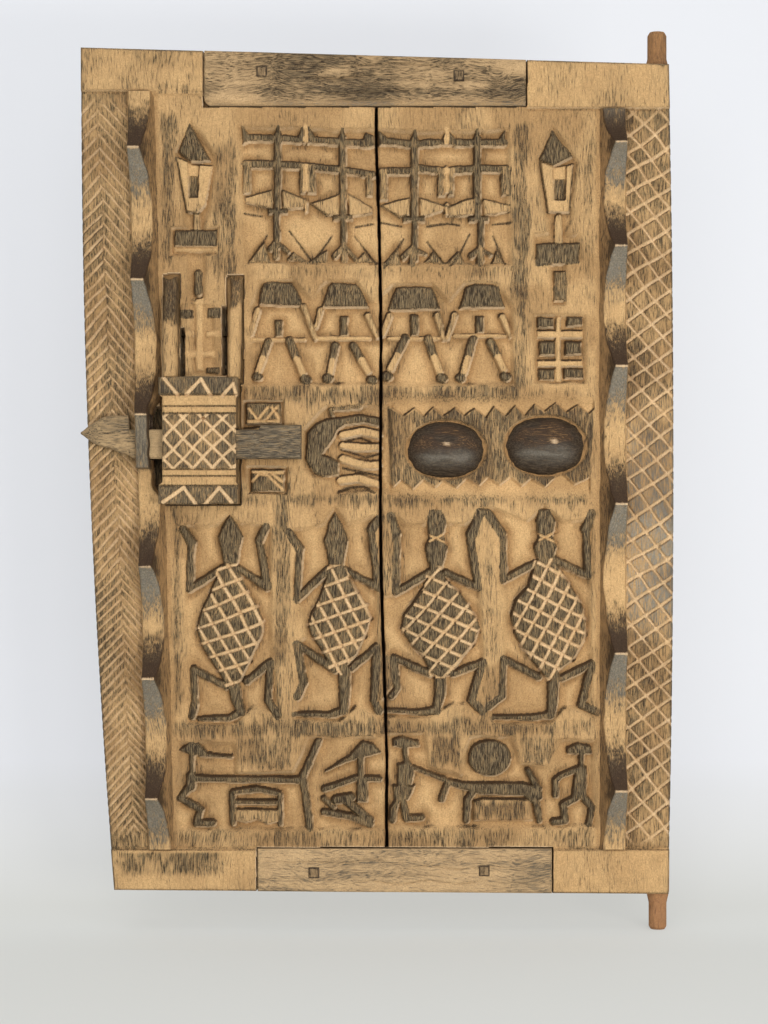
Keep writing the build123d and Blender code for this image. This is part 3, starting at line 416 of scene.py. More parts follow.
for low_x, low_z, high_x, high_z in (
    (-312.7, 553, -307.6, 577), (-269.9, 553, -266.6, 575), (-264.4, 553, -258.6, 575), (-220, 551, -216.3, 567),
    (-210, 548, -204.8, 570), (-166.3, 551, -161.6, 572), (-158.8, 551, -154.9, 572), (-118.8, 551, -112.2, 572),
):
    block(low_x, low_z, high_x, high_z, 0.55, 0.6)
for low_z, high_z in ((592.5, 602.5), (556, 574), (539.5, 546)):
    bar([(-265.7, low_z), (-265.7, high_z)], 2.6, 0.0, 0.2)
    bar([(-160.0, low_z - 2), (-160.0, high_z - 2)], 2.6, 0.0, 0.2)
# the bows' level edges are grooves painted dark as shade
for bow in (
    [(-311.6, 550.1), (-291.3, 555.5), (-291, 541.3), (-311.2, 545.5)],
    [(-283.6, 555.5), (-266, 548.6), (-265.3, 545.5), (-267.6, 541.3), (-282.9, 540.9)],
    [(-262.2, 545.5), (-253, 548.2), (-240.8, 552.4), (-241, 536.3), (-250, 536.3)],
    [(-233.9, 552.4), (-216.3, 542.5), (-216.3, 537.9), (-233, 534.8)],
    [(-209.2, 543.6), (-199.6, 547.1), (-187.8, 549.7), (-188, 536), (-195.4, 535.2)],
    [(-180, 549.7), (-160.6, 543.2), (-164, 539.4), (-174.8, 536), (-180, 536)],
    [(-158.7, 542.5), (-147.2, 547.8), (-139.6, 549.4), (-140, 536), (-158.7, 535.6)],
    [(-132.7, 549), (-112.8, 544), (-112.8, 538.6), (-131.1, 536.3)],
):
    plate(bow, 0.28, 1.4)
    edges = bow + bow[:1]
    for a, b in zip(edges, edges[1:]):
        if abs(a[0] - b[0]) > 6:
            groove([a, b], 1.2, 0.9, 0.8)
for low_x, low_z, high_x, high_z in ((-294, 537.5, -280, 541), (-245, 533, -231, 536.4), (-192.5, 531.6, -176.8, 535),
                                     (-143.2, 531.6, -129, 535)):
    block(low_x, low_z, high_x, high_z, 1.0, 0.2)
for top, low in (((-287.7, 537), (-287.3, 512)), ((-237.4, 533), (-237.2, 512)), ((-183.8, 531), (-183.8, 503)),
                 ((-134.2, 531), (-134.2, 502))):
    bar([top, low], 3.7, 0.9)
for foot in (
    [(-292, 511.1), (-288.2, 516.1), (-279, 508.8)], [(-243.8, 505.7), (-237, 513.4), (-228.5, 503.4)],
    [(-192.3, 505), (-185.8, 511.1), (-175.9, 507.3)], [(-141.5, 505.7), (-135, 511.1), (-127.3, 506.5)],
):
    bar(foot, 4.2, 0.75, 0.3, 2.4)
    bar([(foot[1][0], foot[1][1]), (foot[1][0], foot[1][1] - 11)], 4.0, 0.6, 0.5)
for skirt in (
    [(-279, 503), (-275, 508), (-264.5, 501)], [(-263, 501), (-250, 510), (-250, 501)],
    [(-176, 501), (-170, 509), (-163, 500)], [(-160, 500), (-151, 509), (-147, 500)],
    [(-309, 501), (-297, 516), (-293, 501)], [(-228, 501), (-222, 508), (-215, 501)],
    [(-207, 499), (-197, 512), (-195, 499)], [(-126, 500), (-122, 509), (-117, 500)],
):
    plate(skirt, 0.55, 0.9)
# creases painted dark as shade
for crease in (
    [(-312, 537.9), (-299, 536)], [(-228.5, 527.9), (-214.8, 530.2)], [(-295.1, 521.4), (-308.9, 500.8)],
    [(-278.3, 524.9), (-261.8, 502.7)], [(-246.1, 521), (-260.7, 500.8)], [(-229.3, 521), (-213.2, 500.4)],
    [(-209.6, 531), (-193.9, 528.3)], [(-174.4, 528.3), (-161, 530.2)], [(-159.4, 530.6), (-150.3, 529.1)],
    [(-125, 529.8), (-111.6, 531)], [(-192.4, 518.7), (-206.5, 497)], [(-174.4, 516.4), (-162.5, 501.1)],
    [(-142.6, 522.6), (-151, 505.7), (-157, 498.8)], [(-125, 521), (-116.6, 500.4)],
):
    groove(crease, 1.5, 1.1, 0.85)

# hooded masks at the outer corners, with blocks under them
plate([(-353, 604.7), (-360.8, 584.1), (-351.7, 576.7), (-338, 577.6)], crown=0.6)
plate([(-80.6, 599.3), (-90, 578.3), (-79.2, 573.3), (-65.8, 580)], crown=0.6)
# the hoods' edges are grooves painted dark as shade
for outer, inner in (
    ([(-363, 579.7), (-352, 575), (-336.3, 572.9), (-341.4, 543.6), (-347, 537.5), (-355.4, 539)],
     [(-354.6, 576.5), (-345.6, 575.5), (-346.4, 549.4), (-353.8, 549.4)]),
    ([(-90, 577), (-79, 572), (-64.9, 575), (-67.8, 538), (-83.9, 538.7)],
     [(-80.6, 572), (-69.6, 574), (-70.9, 547.6), (-79.2, 547.6)]),
):
    plate(outer, 0.10, 0.6)
    pit(inner, 3.0, wall=0.8)
    for a, b in zip(outer[-3:] + outer[:1], outer[-2:] + outer[:1]):
        groove([a, b], 1.3, 0.8, 0.9)
pit(corners(-353.6, 550, -346.8, 566.4), 1.2, 0.9, wall=0.8)
pit(corners(-79.0, 548, -71.2, 564.0), 1.2, 0.85, wall=0.8)
bar([(-347.6, 543), (-347.6, 526)], 4.4, 0.25, 1.6)
bar([(-76, 535), (-76, 516)], 5.0, 0.3, 1.4)
block(-364.2, 512.6, -332.8, 524.7, 0.85)
block(-364.6, 508.9, -332.4, 512.4, 0.1, 2.2)
plate([(-92.8, 514.6), (-60.3, 514.9), (-60.6, 500.4), (-92.4, 498.7)], 0.85)
bar([(-346.4, 492), (-346.4, 478)], 5.4, 0.8)
block(-79.2, 472, -70.3, 494, 0.75, 0.6)
for low_x, low_z, high_x, high_z in ((-91.3, 452.4, -80, 459), (-69.2, 453.6, -58.4, 459.7), (-90, 431.6, -79, 441),
                                     (-70.5, 432, -59, 441), (-90.6, 412.8, -79.2, 420.2),
                                     (-71.2, 414, -57.8, 420.8), (-360, 459.6, -351, 464.2),
                                     (-339, 460, -330, 466), (-340, 418, -331, 421)):
    block(low_x, low_z, high_x, high_z, 1.0)
for low_x, low_z, high_x, high_z in ((-92, 444.5, -58, 449.5), (-92, 422.8, -58, 427.4), (-78, 412, -74.5, 460),
                                     (-348, 420, -343, 474), (-359, 446, -350, 449), (-340, 446, -331, 449),
                                     (-357, 430, -334, 434)):
    block(low_x, low_z, high_x, high_z, 0.08, 1.2)

# beside the lock: two chequered pads, the open hand and the arm
block(-310.3, 379.8, -284.7, 394.9, 0.75)
for crease in ([(-308.3, 391.2), (-301.4, 382.7), (-294.1, 392)], [(-296.1, 381.9), (-287.6, 392)],
               [(-309, 381.6), (-286, 381.8)], [(-291, 392), (-286, 384)]):
    groove(crease, 2.0, 1.2)
block(-306.7, 329, -282.3, 344.9, 0.85)
for crease in ([(-306, 336), (-300.6, 342), (-294, 340.8), (-282.7, 330)], [(-291.6, 342.4), (-282.7, 336)],
               [(-306, 343.4), (-283, 343)]):
    groove(crease, 2.2, 1.2)
crescent = [(-265.6, 353), (-264, 372.5), (-257.5, 379.8), (-250.2, 383.1), (-237.2, 384.4), (-225, 386.2),
            (-210, 383.8), (-210, 378.6), (-222, 380.4), (-236, 379), (-242, 375), (-247, 366), (-253.8, 356.3),
            (-246, 353.4), (-241.2, 350.6), (-241.2, 340.4), (-253.4, 340.4), (-260.7, 344.1)]
plate(crescent, 0.85, crown=0.8)
# the gaps between the fingers are painted dark as shade
for gap in ([(-236.4, 366.8), (-225, 369.3), (-216.9, 366)], [(-239.6, 360.7), (-220.9, 354.6), (-211.2, 357)],
               [(-238, 346.5), (-210.5, 340.8)], [(-242, 328.6), (-233, 331.9), (-222.5, 332.7), (-214.4, 328.2)]):
    groove(gap, 1.6, 1.3, 0.95)
for finger in ([(-238, 371.5), (-224, 374.2), (-211, 371.5)], [(-238, 363.4), (-222, 362), (-211, 362.4)],
               [(-238, 353.4), (-222, 348.6), (-211, 349)], [(-240, 337.4), (-226, 338.6), (-212, 334.6)]):
    bar(finger, 5.6, 0.14, 1.2)
bar([(-247.3, 390.4), (-225.8, 392.4)], 3.0, 0.6, 0.6)
bar([(-246.8, 390.4), (-246.1, 386.3)], 3.0, 0.6, 0.6)
groove([(-271, 347), (-276, 326)], 1.6, 0.8, 0.4)
groove([(-262, 346), (-256, 327)], 1.6, 0.8, 0.4)

# scene at the foot, free side: seated figure, table, hut, two posts, seated figure
plate([(-360.8, 134.9), (-352, 140.5), (-346, 139), (-340, 132.4), (-350, 130.4)])
bar([(-345, 131.4), (-321.8, 129.5)], 3.0, 0.75, end_width=1.6)
bar([(-351.2, 131), (-351.4, 115.6)], 3.0, 0.85)
bar([(-352, 115), (-352, 107)], 6.4, 0.95)
bar([(-354, 106), (-360, 98.6), (-344.6, 89.7), (-348, 79.5), (-335.8, 79.5)], 4.6, 0.9)
bar([(-350, 113.2), (-269, 112)], 4.4, 0.95)
plate([(-322.4, 101), (-321.8, 104.4), (-302.4, 107.6), (-284.1, 103.4), (-283, 100), (-302, 103)], 0.9)
bar([(-320.8, 102), (-320.4, 79)], 3.4, 0.85)
bar([(-284.8, 101), (-284.8, 79)], 3.4, 0.85)
bar([(-320, 95.6), (-285, 95.2)], 3.2, 0.8)
plate([(-318, 90), (-286, 90), (-287, 81), (-295, 79), (-303, 82.5), (-311, 80), (-318, 82)], 0.5, 0.6)
bar([(-268, 114), (-256.1, 141.4)], 4.8, 0.85)
bar([(-268, 114), (-262.6, 76.8)], 4.8, 0.85)
plate([(-251.2, 118.6), (-232.4, 130.6), (-222.7, 141.4), (-215, 139), (-209.8, 132.8), (-223, 129.6),
       (-236, 125.6)], 0.95)
bar([(-224.4, 130.6), (-224.4, 112)], 4.0, 0.9)
bar([(-251.8, 105.3), (-228.1, 113.5), (-210.8, 112.6)], 3.8, 0.85)
block(-227, 96, -219.8, 113.5, 0.95)
bar([(-243, 97), (-232, 99)], 6.0, 0.9)
bar([(-238, 98.3), (-217.6, 82)], 5.0, 0.9)
bar([(-251.8, 88.1), (-231.5, 84.3), (-217.4, 79)], 4.6, 0.85)
bar([(-251.8, 98), (-245, 92)], 4.0, 0.7)

# scene at the foot, hinge side: figure leading a dog, disc, figure
plate([(-200, 142.6), (-193, 144.4), (-181, 141.4), (-180.6, 137.4), (-192, 136.4), (-199.8, 138)])
bar([(-191, 137), (-190, 125)], 3.4, 0.85)
plate([(-196.3, 123.8), (-188, 126.4), (-184.2, 121), (-186, 108), (-197, 107)])
plate([(-200.6, 108), (-184, 108), (-188.6, 97), (-198.6, 96)])
bar([(-193, 98), (-190, 83.2), (-178.9, 83.5)], 4.6, 0.9)
bar([(-196, 98), (-200, 90), (-200.4, 82)], 4.2, 0.85)
bar([(-188, 122.6), (-160.5, 112.1)], 3.2, 0.85)
bar([(-159, 110.4), (-163.6, 97.6)], 4.2, 0.85)
plate([(-161, 113.4), (-146, 110), (-128, 110), (-103, 109.8), (-90, 106), (-88.4, 98), (-94, 94), (-102, 100.4),
       (-133, 101.6), (-146, 104.6), (-159.4, 108.4)])
bar([(-91, 105), (-98.9, 119.6)], 4.4, 0.9, end_width=2.6)
bar([(-93, 97), (-90.4, 81.6)], 4.6, 0.9)
bar([(-140, 104), (-144, 97.3), (-145.1, 81.6)], 4.4, 0.9)
plate([(-127.5 + 15.7 * math.cos(a * math.pi / 12), 128.5 + 13.4 * math.sin(a * math.pi / 12))
       for a in range(24)], 0.9, crown=0.8)
plate([(-69.4, 136.6), (-61, 140), (-51.8, 137.6), (-51.4, 132.4), (-60, 131.4), (-69, 132.6)])
bar([(-58.6, 132), (-59, 121)], 3.0, 0.85)
bar([(-58.6, 121.4), (-74.7, 115), (-78, 111.6), (-78, 100.8)], 4.0, 0.85)
plate([(-63, 121), (-55.4, 121.6), (-55, 98), (-66, 98)])
bar([(-63, 98.6), (-72.3, 93.4), (-70.9, 81.4), (-79.4, 80.6)], 4.4, 0.9)
bar([(-57, 99.5), (-50.6, 91.7), (-52.8, 79.8)], 4.4, 0.9)

# the rows of teeth above and below the two domes
zigzag([(-205, 394), (-192.3, 385.1), (-184.2, 391.1), (-176.7, 384.6), (-170, 391.8), (-162.7, 385.1),
        (-153.9, 391.3), (-146.6, 385.1), (-139, 391.1), (-130.4, 384.1), (-124.5, 392.5), (-115.4, 385.1),
        (-108.4, 393.2), (-101.4, 385.1), (-93.9, 394.3), (-86.4, 388.4), (-77.7, 395.7), (-70.2, 387.8),
        (-61.4, 394), (-53, 387.3), (-49, 391)], 404, 3.4, (392, 402))
zigzag([(-203, 336), (-199.8, 332.4), (-194.4, 337.8), (-185.3, 330.8), (-177.7, 337.8), (-168.6, 332.4),
        (-162.7, 337.4), (-152.5, 331.5), (-145.5, 338.9), (-135.3, 333.5), (-129.4, 340), (-120.2, 334),
        (-112.1, 340), (-103.5, 333.2), (-97, 339.4), (-86, 332.4), (-78.2, 340), (-72.3, 342), (-63.8, 334.6),
        (-52, 340)], 320, 3.4, (333, 321))
DOMES = [(-160.7, 360.2, 29.2, 21.4), (-85.8, 363.1, 30.0, 22.0)]

# openings of the lock, painted dark inside as shade
HOLLOWS = [
    [(-379.8, 393), (-385, 379), (-385, 353), (-381.6, 346), (-381, 335), (-378, 330), (-374, 330), (-374, 392)],
    [(-360.4, 452), (-357, 452), (-357, 415), (-360.4, 415)],
    [(-328.9, 468), (-325, 468), (-325, 417), (-328.2, 417)],
]
for hollow in HOLLOWS:
    pit(hollow, 16.0, 0.9, 0.9)


# ---------------------------------------------------------------- how the planks' fronts are carved
def each_near(x, z, shapes, margin):
    """Each shape with the points of the grid that lie close to it, so that only those are worked on."""
    for shape in shapes:
        points = np.array(shape["plate"] if "plate" in shape else shape["line"])
        reach = margin + shape.get("reach", 0.0)
        low = points.min(0) - reach
        high = points.max(0) + reach
        near = np.flatnonzero((x > low[0]) & (x < high[0]) & (z > low[1]) & (z < high[1]))
        if len(near):
            yield shape, near


def shape_distance(x, z, shape):
    if "plate" in shape:
        return plate_distance(x, z, shape["plate"])
    return line_distance(x, z, shape["line"], shape["widths"])


def hewn(x, z):
    """Unevenness that the chisel leaves along every outline."""
    return uneven(x, z, 7, 7, 1, 1.0) + uneven(x, z, 2.4, 2.4, 2, 0.5)


def parallel_grooves(value, pitch, width):
    """1 in the middle of each groove, 0 on the wood between."""
    off = np.abs((value / pitch) % 1.0 - 0.5) * pitch
    return 1 - smooth(width / 2 - 0.5, width / 2 + 0.5, off)


def sunk_ground(x, z, figure_distance):
    """How deep the ground is cut at each point. It is deepest against the figures and swells between them."""
    wobble = uneven(x, z, 11, 13, 3, 2.2)
    cut = np.zeros(x.shape)
    for one, near in each_near(x, z, grounds, 4):
        inside = 1 - smooth(-one["wall"], 1.0, plate_distance(x[near], z[near], one["plate"]) + wobble[near])
        cut[near] = np.maximum(cut[near], one["depth"] * inside)
    for island in islands:
        cut *= smooth(-1.0, 2.0, plate_distance(x, z, island))
    return cut * (1 - 0.40 * smooth(3.5, 11.0, figure_distance))


def old_surface_tone(x, z):
    """How far the clay has worn off the uncut wood: little, but for streaks in the weathered parts."""
    strength = np.full(x.shape, 0.22)
    ragged = uneven(x, z, 3, 18, 18, 5)
    for low_x, low_z, high_x, high_z, level in weathered:
        side = np.minimum(x - low_x, high_x - x) + ragged
        end = np.minimum(z - low_z, high_z - z) + ragged * 1.5
        strength = np.maximum(strength, level * smooth(-3.0, 5.0, side) * smooth(-6.0, 6.0, end))
    return np.minimum(strength * (0.45 + 0.4 * noise(x, z, 1.5, 14, 8) + 0.6 * noise(x, z, 9, 20, 19)), 0.66)


def slopes(x, z, height, columns):
    """How the surface rises to the right, and how it rises upwards."""
    grid = height.reshape(-1, columns)
    to_right = np.gradient(grid, axis=1) / np.gradient(x.reshape(-1, columns), axis=1)
    upwards = np.gradient(grid, axis=0) / np.gradient(z.reshape(-1, columns), axis=0)
    return to_right.ravel(), upwards.ravel()


def herringbone(x, z, edge):
    """Grooves that run down both ways from a line along the strip, closer together towards the foot."""
    apex = -421.7 + 0.05 * (600 - z) + uneven(z, z, 30, 30, 10, 2.0)
    aside = np.abs(x - apex)
    slant = np.where(x < apex, 1.00, 1.26)
    slack = uneven(z, z, 46, 46, 11, 5) + uneven(x, z, 16, 10, 12, 1.6)
    level = np.maximum(z + slant * aside + slack + np.where(x < apex, 2.5, 0.0), 0.0)
    pitch = 5.4 + 0.0072 * level
    turns = 138.9 * np.log(pitch)
    off = np.abs(turns % 1.0 - 0.5) * pitch
    width = 2.7 + edge * 0.6
    line = 1 - smooth(width / 2 - 0.5, width / 2 + 0.5, off)
    return line * within(66, 80, 612, 626, z) * (0.7 + 0.4 * noise(x, z, 20, 30, 13))


def lattice(x, z, edge):
    warp = uneven(x, z, 30, 34, 14, 6)
    rising = parallel_grooves(z - (x + 8) * 0.70 + warp, 15.4, 2.9 + edge * 0.7)
    falling = parallel_grooves(z + (x + 8) * 1.20 + warp * 1.3, 20.4, 3.0 + edge * 0.7)
    return np.maximum(rising, falling) * smooth(62, 72, z) * (1 - 0.5 * smooth(596, 612, z))


def carve(x, z, columns):
    """Depth of the carved front, and its tones: worn wood, grey polish, brown with painted shade in the inner
    corners, and pale clay with painted highlights on the edges.
    """
    edge = hewn(x, z)
    figure_distance = np.full(x.shape, 99.0)
    for shape, near in each_near(x, z, figures, 14):
        figure_distance[near] = np.minimum(figure_distance[near], shape_distance(x[near], z[near], shape))
    cut = sunk_ground(x, z, figure_distance)
    old_wood = uneven(x, z, 60, 120, 4, 0.8) + uneven(x, z, 1.4, 26, 5, 0.45)
    scoops = uneven(x, z, 8, 10, 6, 1.1) + uneven(x, z, 3, 4, 7, 0.6)
    share = cut / FIELD_CUT
    height = SURFACE - 0.4 + old_wood * (1 - 0.6 * share) - cut + scoops * np.minimum(share, 1)
    floor = height.copy()
    tone = (1 - smooth(0.10, 0.45, share)) * old_surface_tone(x, z)
    # painted shade: the sunk ground is browner and darker close to the figures
    corner = np.clip(share, 0, 1) * (1 - smooth(1.0, 9.0, figure_distance))
    brown_and_shade = corner * (0.50 + 0.5 * noise(x, z, 12, 14, 25))
    brown_and_shade = np.maximum(brown_and_shade, 0.10 + 0.40 * smooth(0.35, 0.70, noise(x, z, 22, 26, 36)))
    tone = np.maximum(tone, 0.30 * corner * smooth(0.30, 0.75, noise(x, z, 7, 11, 26)))
    grey = np.zeros(x.shape)
    filled = np.zeros(x.shape)

    for shape, near in each_near(x, z, figures, 3):
        distance = shape_distance(x[near], z[near], shape) + edge[near] * 0.8
        cover = 1 - smooth(-0.4, 1.15, distance)
        top = SURFACE - shape["drop"] + old_wood[near] * 0.7 + shape["crown"] * smooth(0, 13, -distance)
        top -= 0.6 * (1 - smooth(0, 1.6, -distance))
        height[near] = np.maximum(height[near], floor[near] + cover * (top - floor[near]))
        wall = smooth(0.0, 0.5, cover)
        tone[near] = tone[near] * (1 - wall) + 1.15 * shape["tone"] * wall
        brown_and_shade[near] *= 1 - cover

    for one, near in each_near(x, z, hatchings, 3):
        along = -x[near] * math.sin(one["angle"]) + z[near] * math.cos(one["angle"]) + one["phase"]
        along = along + uneven(x[near], z[near], 30, 30, 9, 2.4)
        line = parallel_grooves(along, one["pitch"], one["width"] + edge[near] * 0.4)
        line *= 1 - smooth(1.2, 2.6, plate_distance(x[near], z[near], one["plate"]))
        height[near] -= one["depth"] * line
        tone[near] *= 1 - line
        filled[near] = np.maximum(filled[near], line)

    # the strips outside the rims: herringbone on the free side, lattice on the hinge side
    on_strip = (x < left_rim_outer(z)) & (z > STRIP_FOOT) & (z < FREE_STRIP_TOP)
    on_lattice = (x > right_rim_outer(z)) & (z > STRIP_FOOT) & (z < HINGE_STRIP_TOP)
    lines = np.where(on_strip, herringbone(x, z, edge), np.where(on_lattice, lattice(x, z, edge), 0.0))
    height -= 1.5 * lines
    filled = np.maximum(filled, lines)
    strip_tone = np.where(on_strip, 0.42, 0.50) * (0.7 + 0.6 * noise(x, z, 2.2, 22, 15)) + 0.06
    strip_tone = strip_tone * (0.8 + 0.4 * noise(x, z, 18, 40, 27))
    tone = np.where(on_strip | on_lattice, strip_tone * (1 - lines), tone)
    grey = np.where(on_lattice, (1 - lines) * within(200, 260, 330, 420, z) * 0.8, grey)

    for one, near in each_near(x, z, grooves, 2):
        distance = line_distance(x[near], z[near], one["line"], [0.0] * len(one["line"])) + edge[near] * 0.3
        line = 1 - smooth(one["width"] / 2 - 0.5, one["width"] / 2 + 0.6, distance)
        height[near] -= one["depth"] * line
        tone[near] = tone[near] * (1 - line) + one["tone"] * line

    for one, near in each_near(x, z, pits, 3):
        inside = 1 - smooth(-one["wall"], 0.3, plate_distance(x[near], z[near], one["plate"]) + edge[near] * 0.6)
        if one["fade"]:
            inside = inside * (1 - smooth(0, 1, (z[near] - one["fade"][0]) / (one["fade"][1] - one["fade"][0])))
        height[near] = height[near] - one["depth"] * inside
        tone[near] = tone[near] * (1 - inside) + one["tone"] * inside

    # the old surface between the rows of teeth is streaked dark
    for panel, near in each_near(x, z, [{"plate": teeth[0] + teeth[1][::-1]}], 3):
        inside = 1 - smooth(-1.0, 0.2, plate_distance(x[near], z[near], panel["plate"]) + edge[near] * 0.6)
        streaks = 0.45 + 0.35 * noise(x[near], z[near], 1.5, 14, 34) + 0.25 * noise(x[near], z[near], 12, 20, 35)
        tone[near] = np.maximum(tone[near], inside * streaks)

    # moats round the domes
    on_dome = np.zeros(x.shape)
    for dome_x, dome_z, half_x, half_z in DOMES:
        ring = np.hypot((x - dome_x) / half_x, (z - dome_z) / half_z) - 1
        moat = 1 - smooth(0.03, 0.10, ring + edge * 0.02)
        height -= 2.4 * moat
        tone = tone * (1 - moat) + 0.46 * moat * noise(x, z, 4, 4, 37)
        brown_and_shade = np.maximum(brown_and_shade, 0.9 * moat)
        on_dome = np.maximum(on_dome, 1 - smooth(0.10, 0.20, ring))

    # rails at the top and foot
    beside_top_cleat = x < FREE_RAIL_X
    beside_foot_cleat = (x < FOOT_RAIL_X[0]) | (x > FOOT_RAIL_X[1])
    left_rail = smooth(628.2, 630.6, z) * beside_top_cleat
    left_rail = np.maximum(left_rail, smooth(625.4, 628.0, z) * beside_top_cleat * smooth(-385, -383, x))
    right_rail = smooth(615.4, 617.6, z) * (x > HINGE_RAIL_X)
    foot_rail = (1 - smooth(59.0, 61.4, z)) * beside_foot_cleat
    rail = np.maximum.reduce([left_rail, right_rail, foot_rail])
    height += (RAIL - SURFACE) * rail
    rail_worn = 0.17 * (0.5 + noise(x, z, 14, 50, 16))
    brown_and_shade = brown_and_shade * (1 - 0.7 * rail)
    foot_patch = within(-412, -396, -336, -312, x) * within(36, 46, 57, 60, z)
    head_patch = within(-395, -386, -352, -345, x) * smooth(636, 650, z)
    rail_worn = np.maximum(rail_worn, (0.62 * foot_patch + 0.3 * head_patch) * (0.6 + 0.8 * noise(x, z, 5, 9, 29)))
    tone = tone * (1 - rail) + rail * rail_worn
    dark_patch = within(-378, -374, -353, -349, x)
    dark_patch = dark_patch * within(626, 628, 632, 637, z)
    tone = np.maximum(tone, 0.62 * dark_patch * smooth(0.2, 0.7, noise(x, z, 1.6, 12, 28)))
    groove_at_rail = 0.0
    for level, place in ((628.5, beside_top_cleat), (615.6, x > HINGE_RAIL_X), (61.2, beside_foot_cleat)):
        groove_at_rail = groove_at_rail + peak(z - level, 1.2) * place
    height -= 0.8 * groove_at_rail
    # the grooves at the rails' edges are painted dark as shade
    tone = np.maximum(tone, 0.7 * groove_at_rail * noise(x, z, 12, 12, 17))

    # housings of the two cleats, flat seat of the case, and the bolt's run
    housing = (x > TOP_HOUSING_X[0]) & (x < TOP_HOUSING_X[1]) & (z > TOP_HOUSING_Z)
    housing |= (x > FOOT_HOUSING_X[0]) & (x < FOOT_HOUSING_X[1]) & (z < FOOT_HOUSING_Z)
    height = np.where(housing, HOUSING, height)
    seat = np.zeros(x.shape, bool)
    for low_x, low_z, high_x, high_z in ((-375, 318.6, -314.6, 414.4), (-372.6, 410, -360.4, 492),
                                         (-325, 410, -312.6, 491)):
        seat |= (x > low_x) & (x < high_x) & (z > low_z) & (z < high_z)
    height = np.where(seat, np.minimum(height, CASE_SEAT), height)
    run = (z > BOLT_RUN_Z[0]) & (z < BOLT_RUN_Z[1]) & (x < BOLT_RUN_X)
    height = np.where(run, np.minimum(height, BOLT_BACK - 0.3), height)
    # painted shade: a brown band along the case's right side
    shade_beside_case = peak(x + 312.5, 3.0) * within(330, 345, 405, 412, z)
    # painted shade: a brown band of clay along the inner foot of each rim
    shade_inside_rims = 0.0
    for from_rim, top in ((x - left_rim_outer(z), FREE_STRIP_TOP), (right_rim_outer(z) - x, HINGE_STRIP_TOP)):
        shade_inside_rims = shade_inside_rims + peak(from_rim - 20.5, 2.6) * (z > STRIP_FOOT) * (z < top)
    brown_and_shade = np.maximum.reduce([brown_and_shade, shade_beside_case, 0.55 * shade_inside_rims])
    tone = tone * (1 - 0.5 * shade_inside_rims)

    # darker where it faces up and to the left: painted shade, with dirt on the ledges that face up; paler where it
    # faces down and to the right: painted highlight, as if lit from the lower right
    to_right, upwards = slopes(x, z, height, columns)
    lean = 0.55 * to_right - 0.85 * upwards
    painted_shade_and_dirt = smooth(0.60, 1.9, lean) * ~(housing | seat) * (1 - on_dome)
    highlight_and_pale_clay = smooth(0.7, 2.2, -lean) * ~(housing | seat) * (1 - 0.7 * on_dome)
    tone = np.maximum(tone, 1.1 * painted_shade_and_dirt) * (1 - 0.85 * highlight_and_pale_clay)
    brown_and_shade = np.maximum(brown_and_shade, 0.85 * painted_shade_and_dirt) * (1 - 0.9 * highlight_and_pale_clay)
    # the clay left in the filled grooves is pale as well
    highlight_and_pale_clay = np.maximum(highlight_and_pale_clay, filled * (0.30 + 0.45 * noise(x, z, 7, 7, 36)) * (1 - painted_shade_and_dirt))
    return height, np.clip(tone, 0, 1.3), grey, np.clip(brown_and_shade, 0, 1), highlight_and_pale_clay


# ---------------------------------------------------------------- making meshes
def named(name):
    """Names the object that was just added."""
    piece = bpy.context.object
    piece.name = name
    piece.data.name = name
    return piece


def flat_grid(name, across, along):
    """A grid to be warped to a hewn face. Gives the object, and how far each corner is across and along."""
    bpy.ops.object.select_all(action="DESELECT")
    bpy.ops.mesh.primitive_grid_add(x_subdivisions=across, y_subdivisions=along, size=1.0, location=(0, 0, 0))
    piece = named(name)
    co = read_points(piece)
    return piece, co[:, 0] + 0.5, co[:, 1] + 0.5


def read_points(piece):
    co = np.empty(len(piece.data.vertices) * 3, np.float64)
    piece.data.vertices.foreach_get("co", co)
    return co.reshape(-1, 3)


def place_points(piece, x, y, z):
    """Places every corner of a mesh, given in metres."""
    piece.data.vertices.foreach_set("co", np.stack([x, y, z], 1).astype(np.float32).ravel())
    piece.data.update()


def write_points(piece, x, depth, z):
    """Places every corner of a mesh, given in millimetres."""
    place_points(piece, x * MM, -depth * MM, z * MM)


def write_tones(piece, tones, sides=(0.0, 0.0, 0.0, 0.0)):
    """Stores how worn, how grey (polish and painted sheen), how brown (stain and painted shade) and how pale (clay
    and painted highlight) the wood is at each corner.

    sides is what the corners have that were added after those of the front.
    """
    layer = piece.data.color_attributes.new("wear_and_painted_light", "FLOAT_COLOR", "POINT")
    values = np.zeros((len(piece.data.vertices), 4), np.float32)
    count = max(np.size(tone) for tone in tones)
    for column, tone in enumerate(tones):
        values[:count, column] = tone
    for column, side in enumerate(sides):
        values[count:, column] = side
    layer.data.foreach_set("color", values.ravel())


def select_only(piece):
    bpy.ops.object.select_all(action="DESELECT")
    bpy.context.view_layer.objects.active = piece
    piece.select_set(True)


def face_outwards(piece):
    """Turns the faces outwards. A grid's faces look along +Z before it is stood up."""
    select_only(piece)
    bpy.ops.object.mode_set(mode="EDIT")
    bpy.ops.mesh.select_all(action="SELECT")
    bpy.ops.mesh.normals_make_consistent(inside=False)
    bpy.ops.object.mode_set(mode="OBJECT")


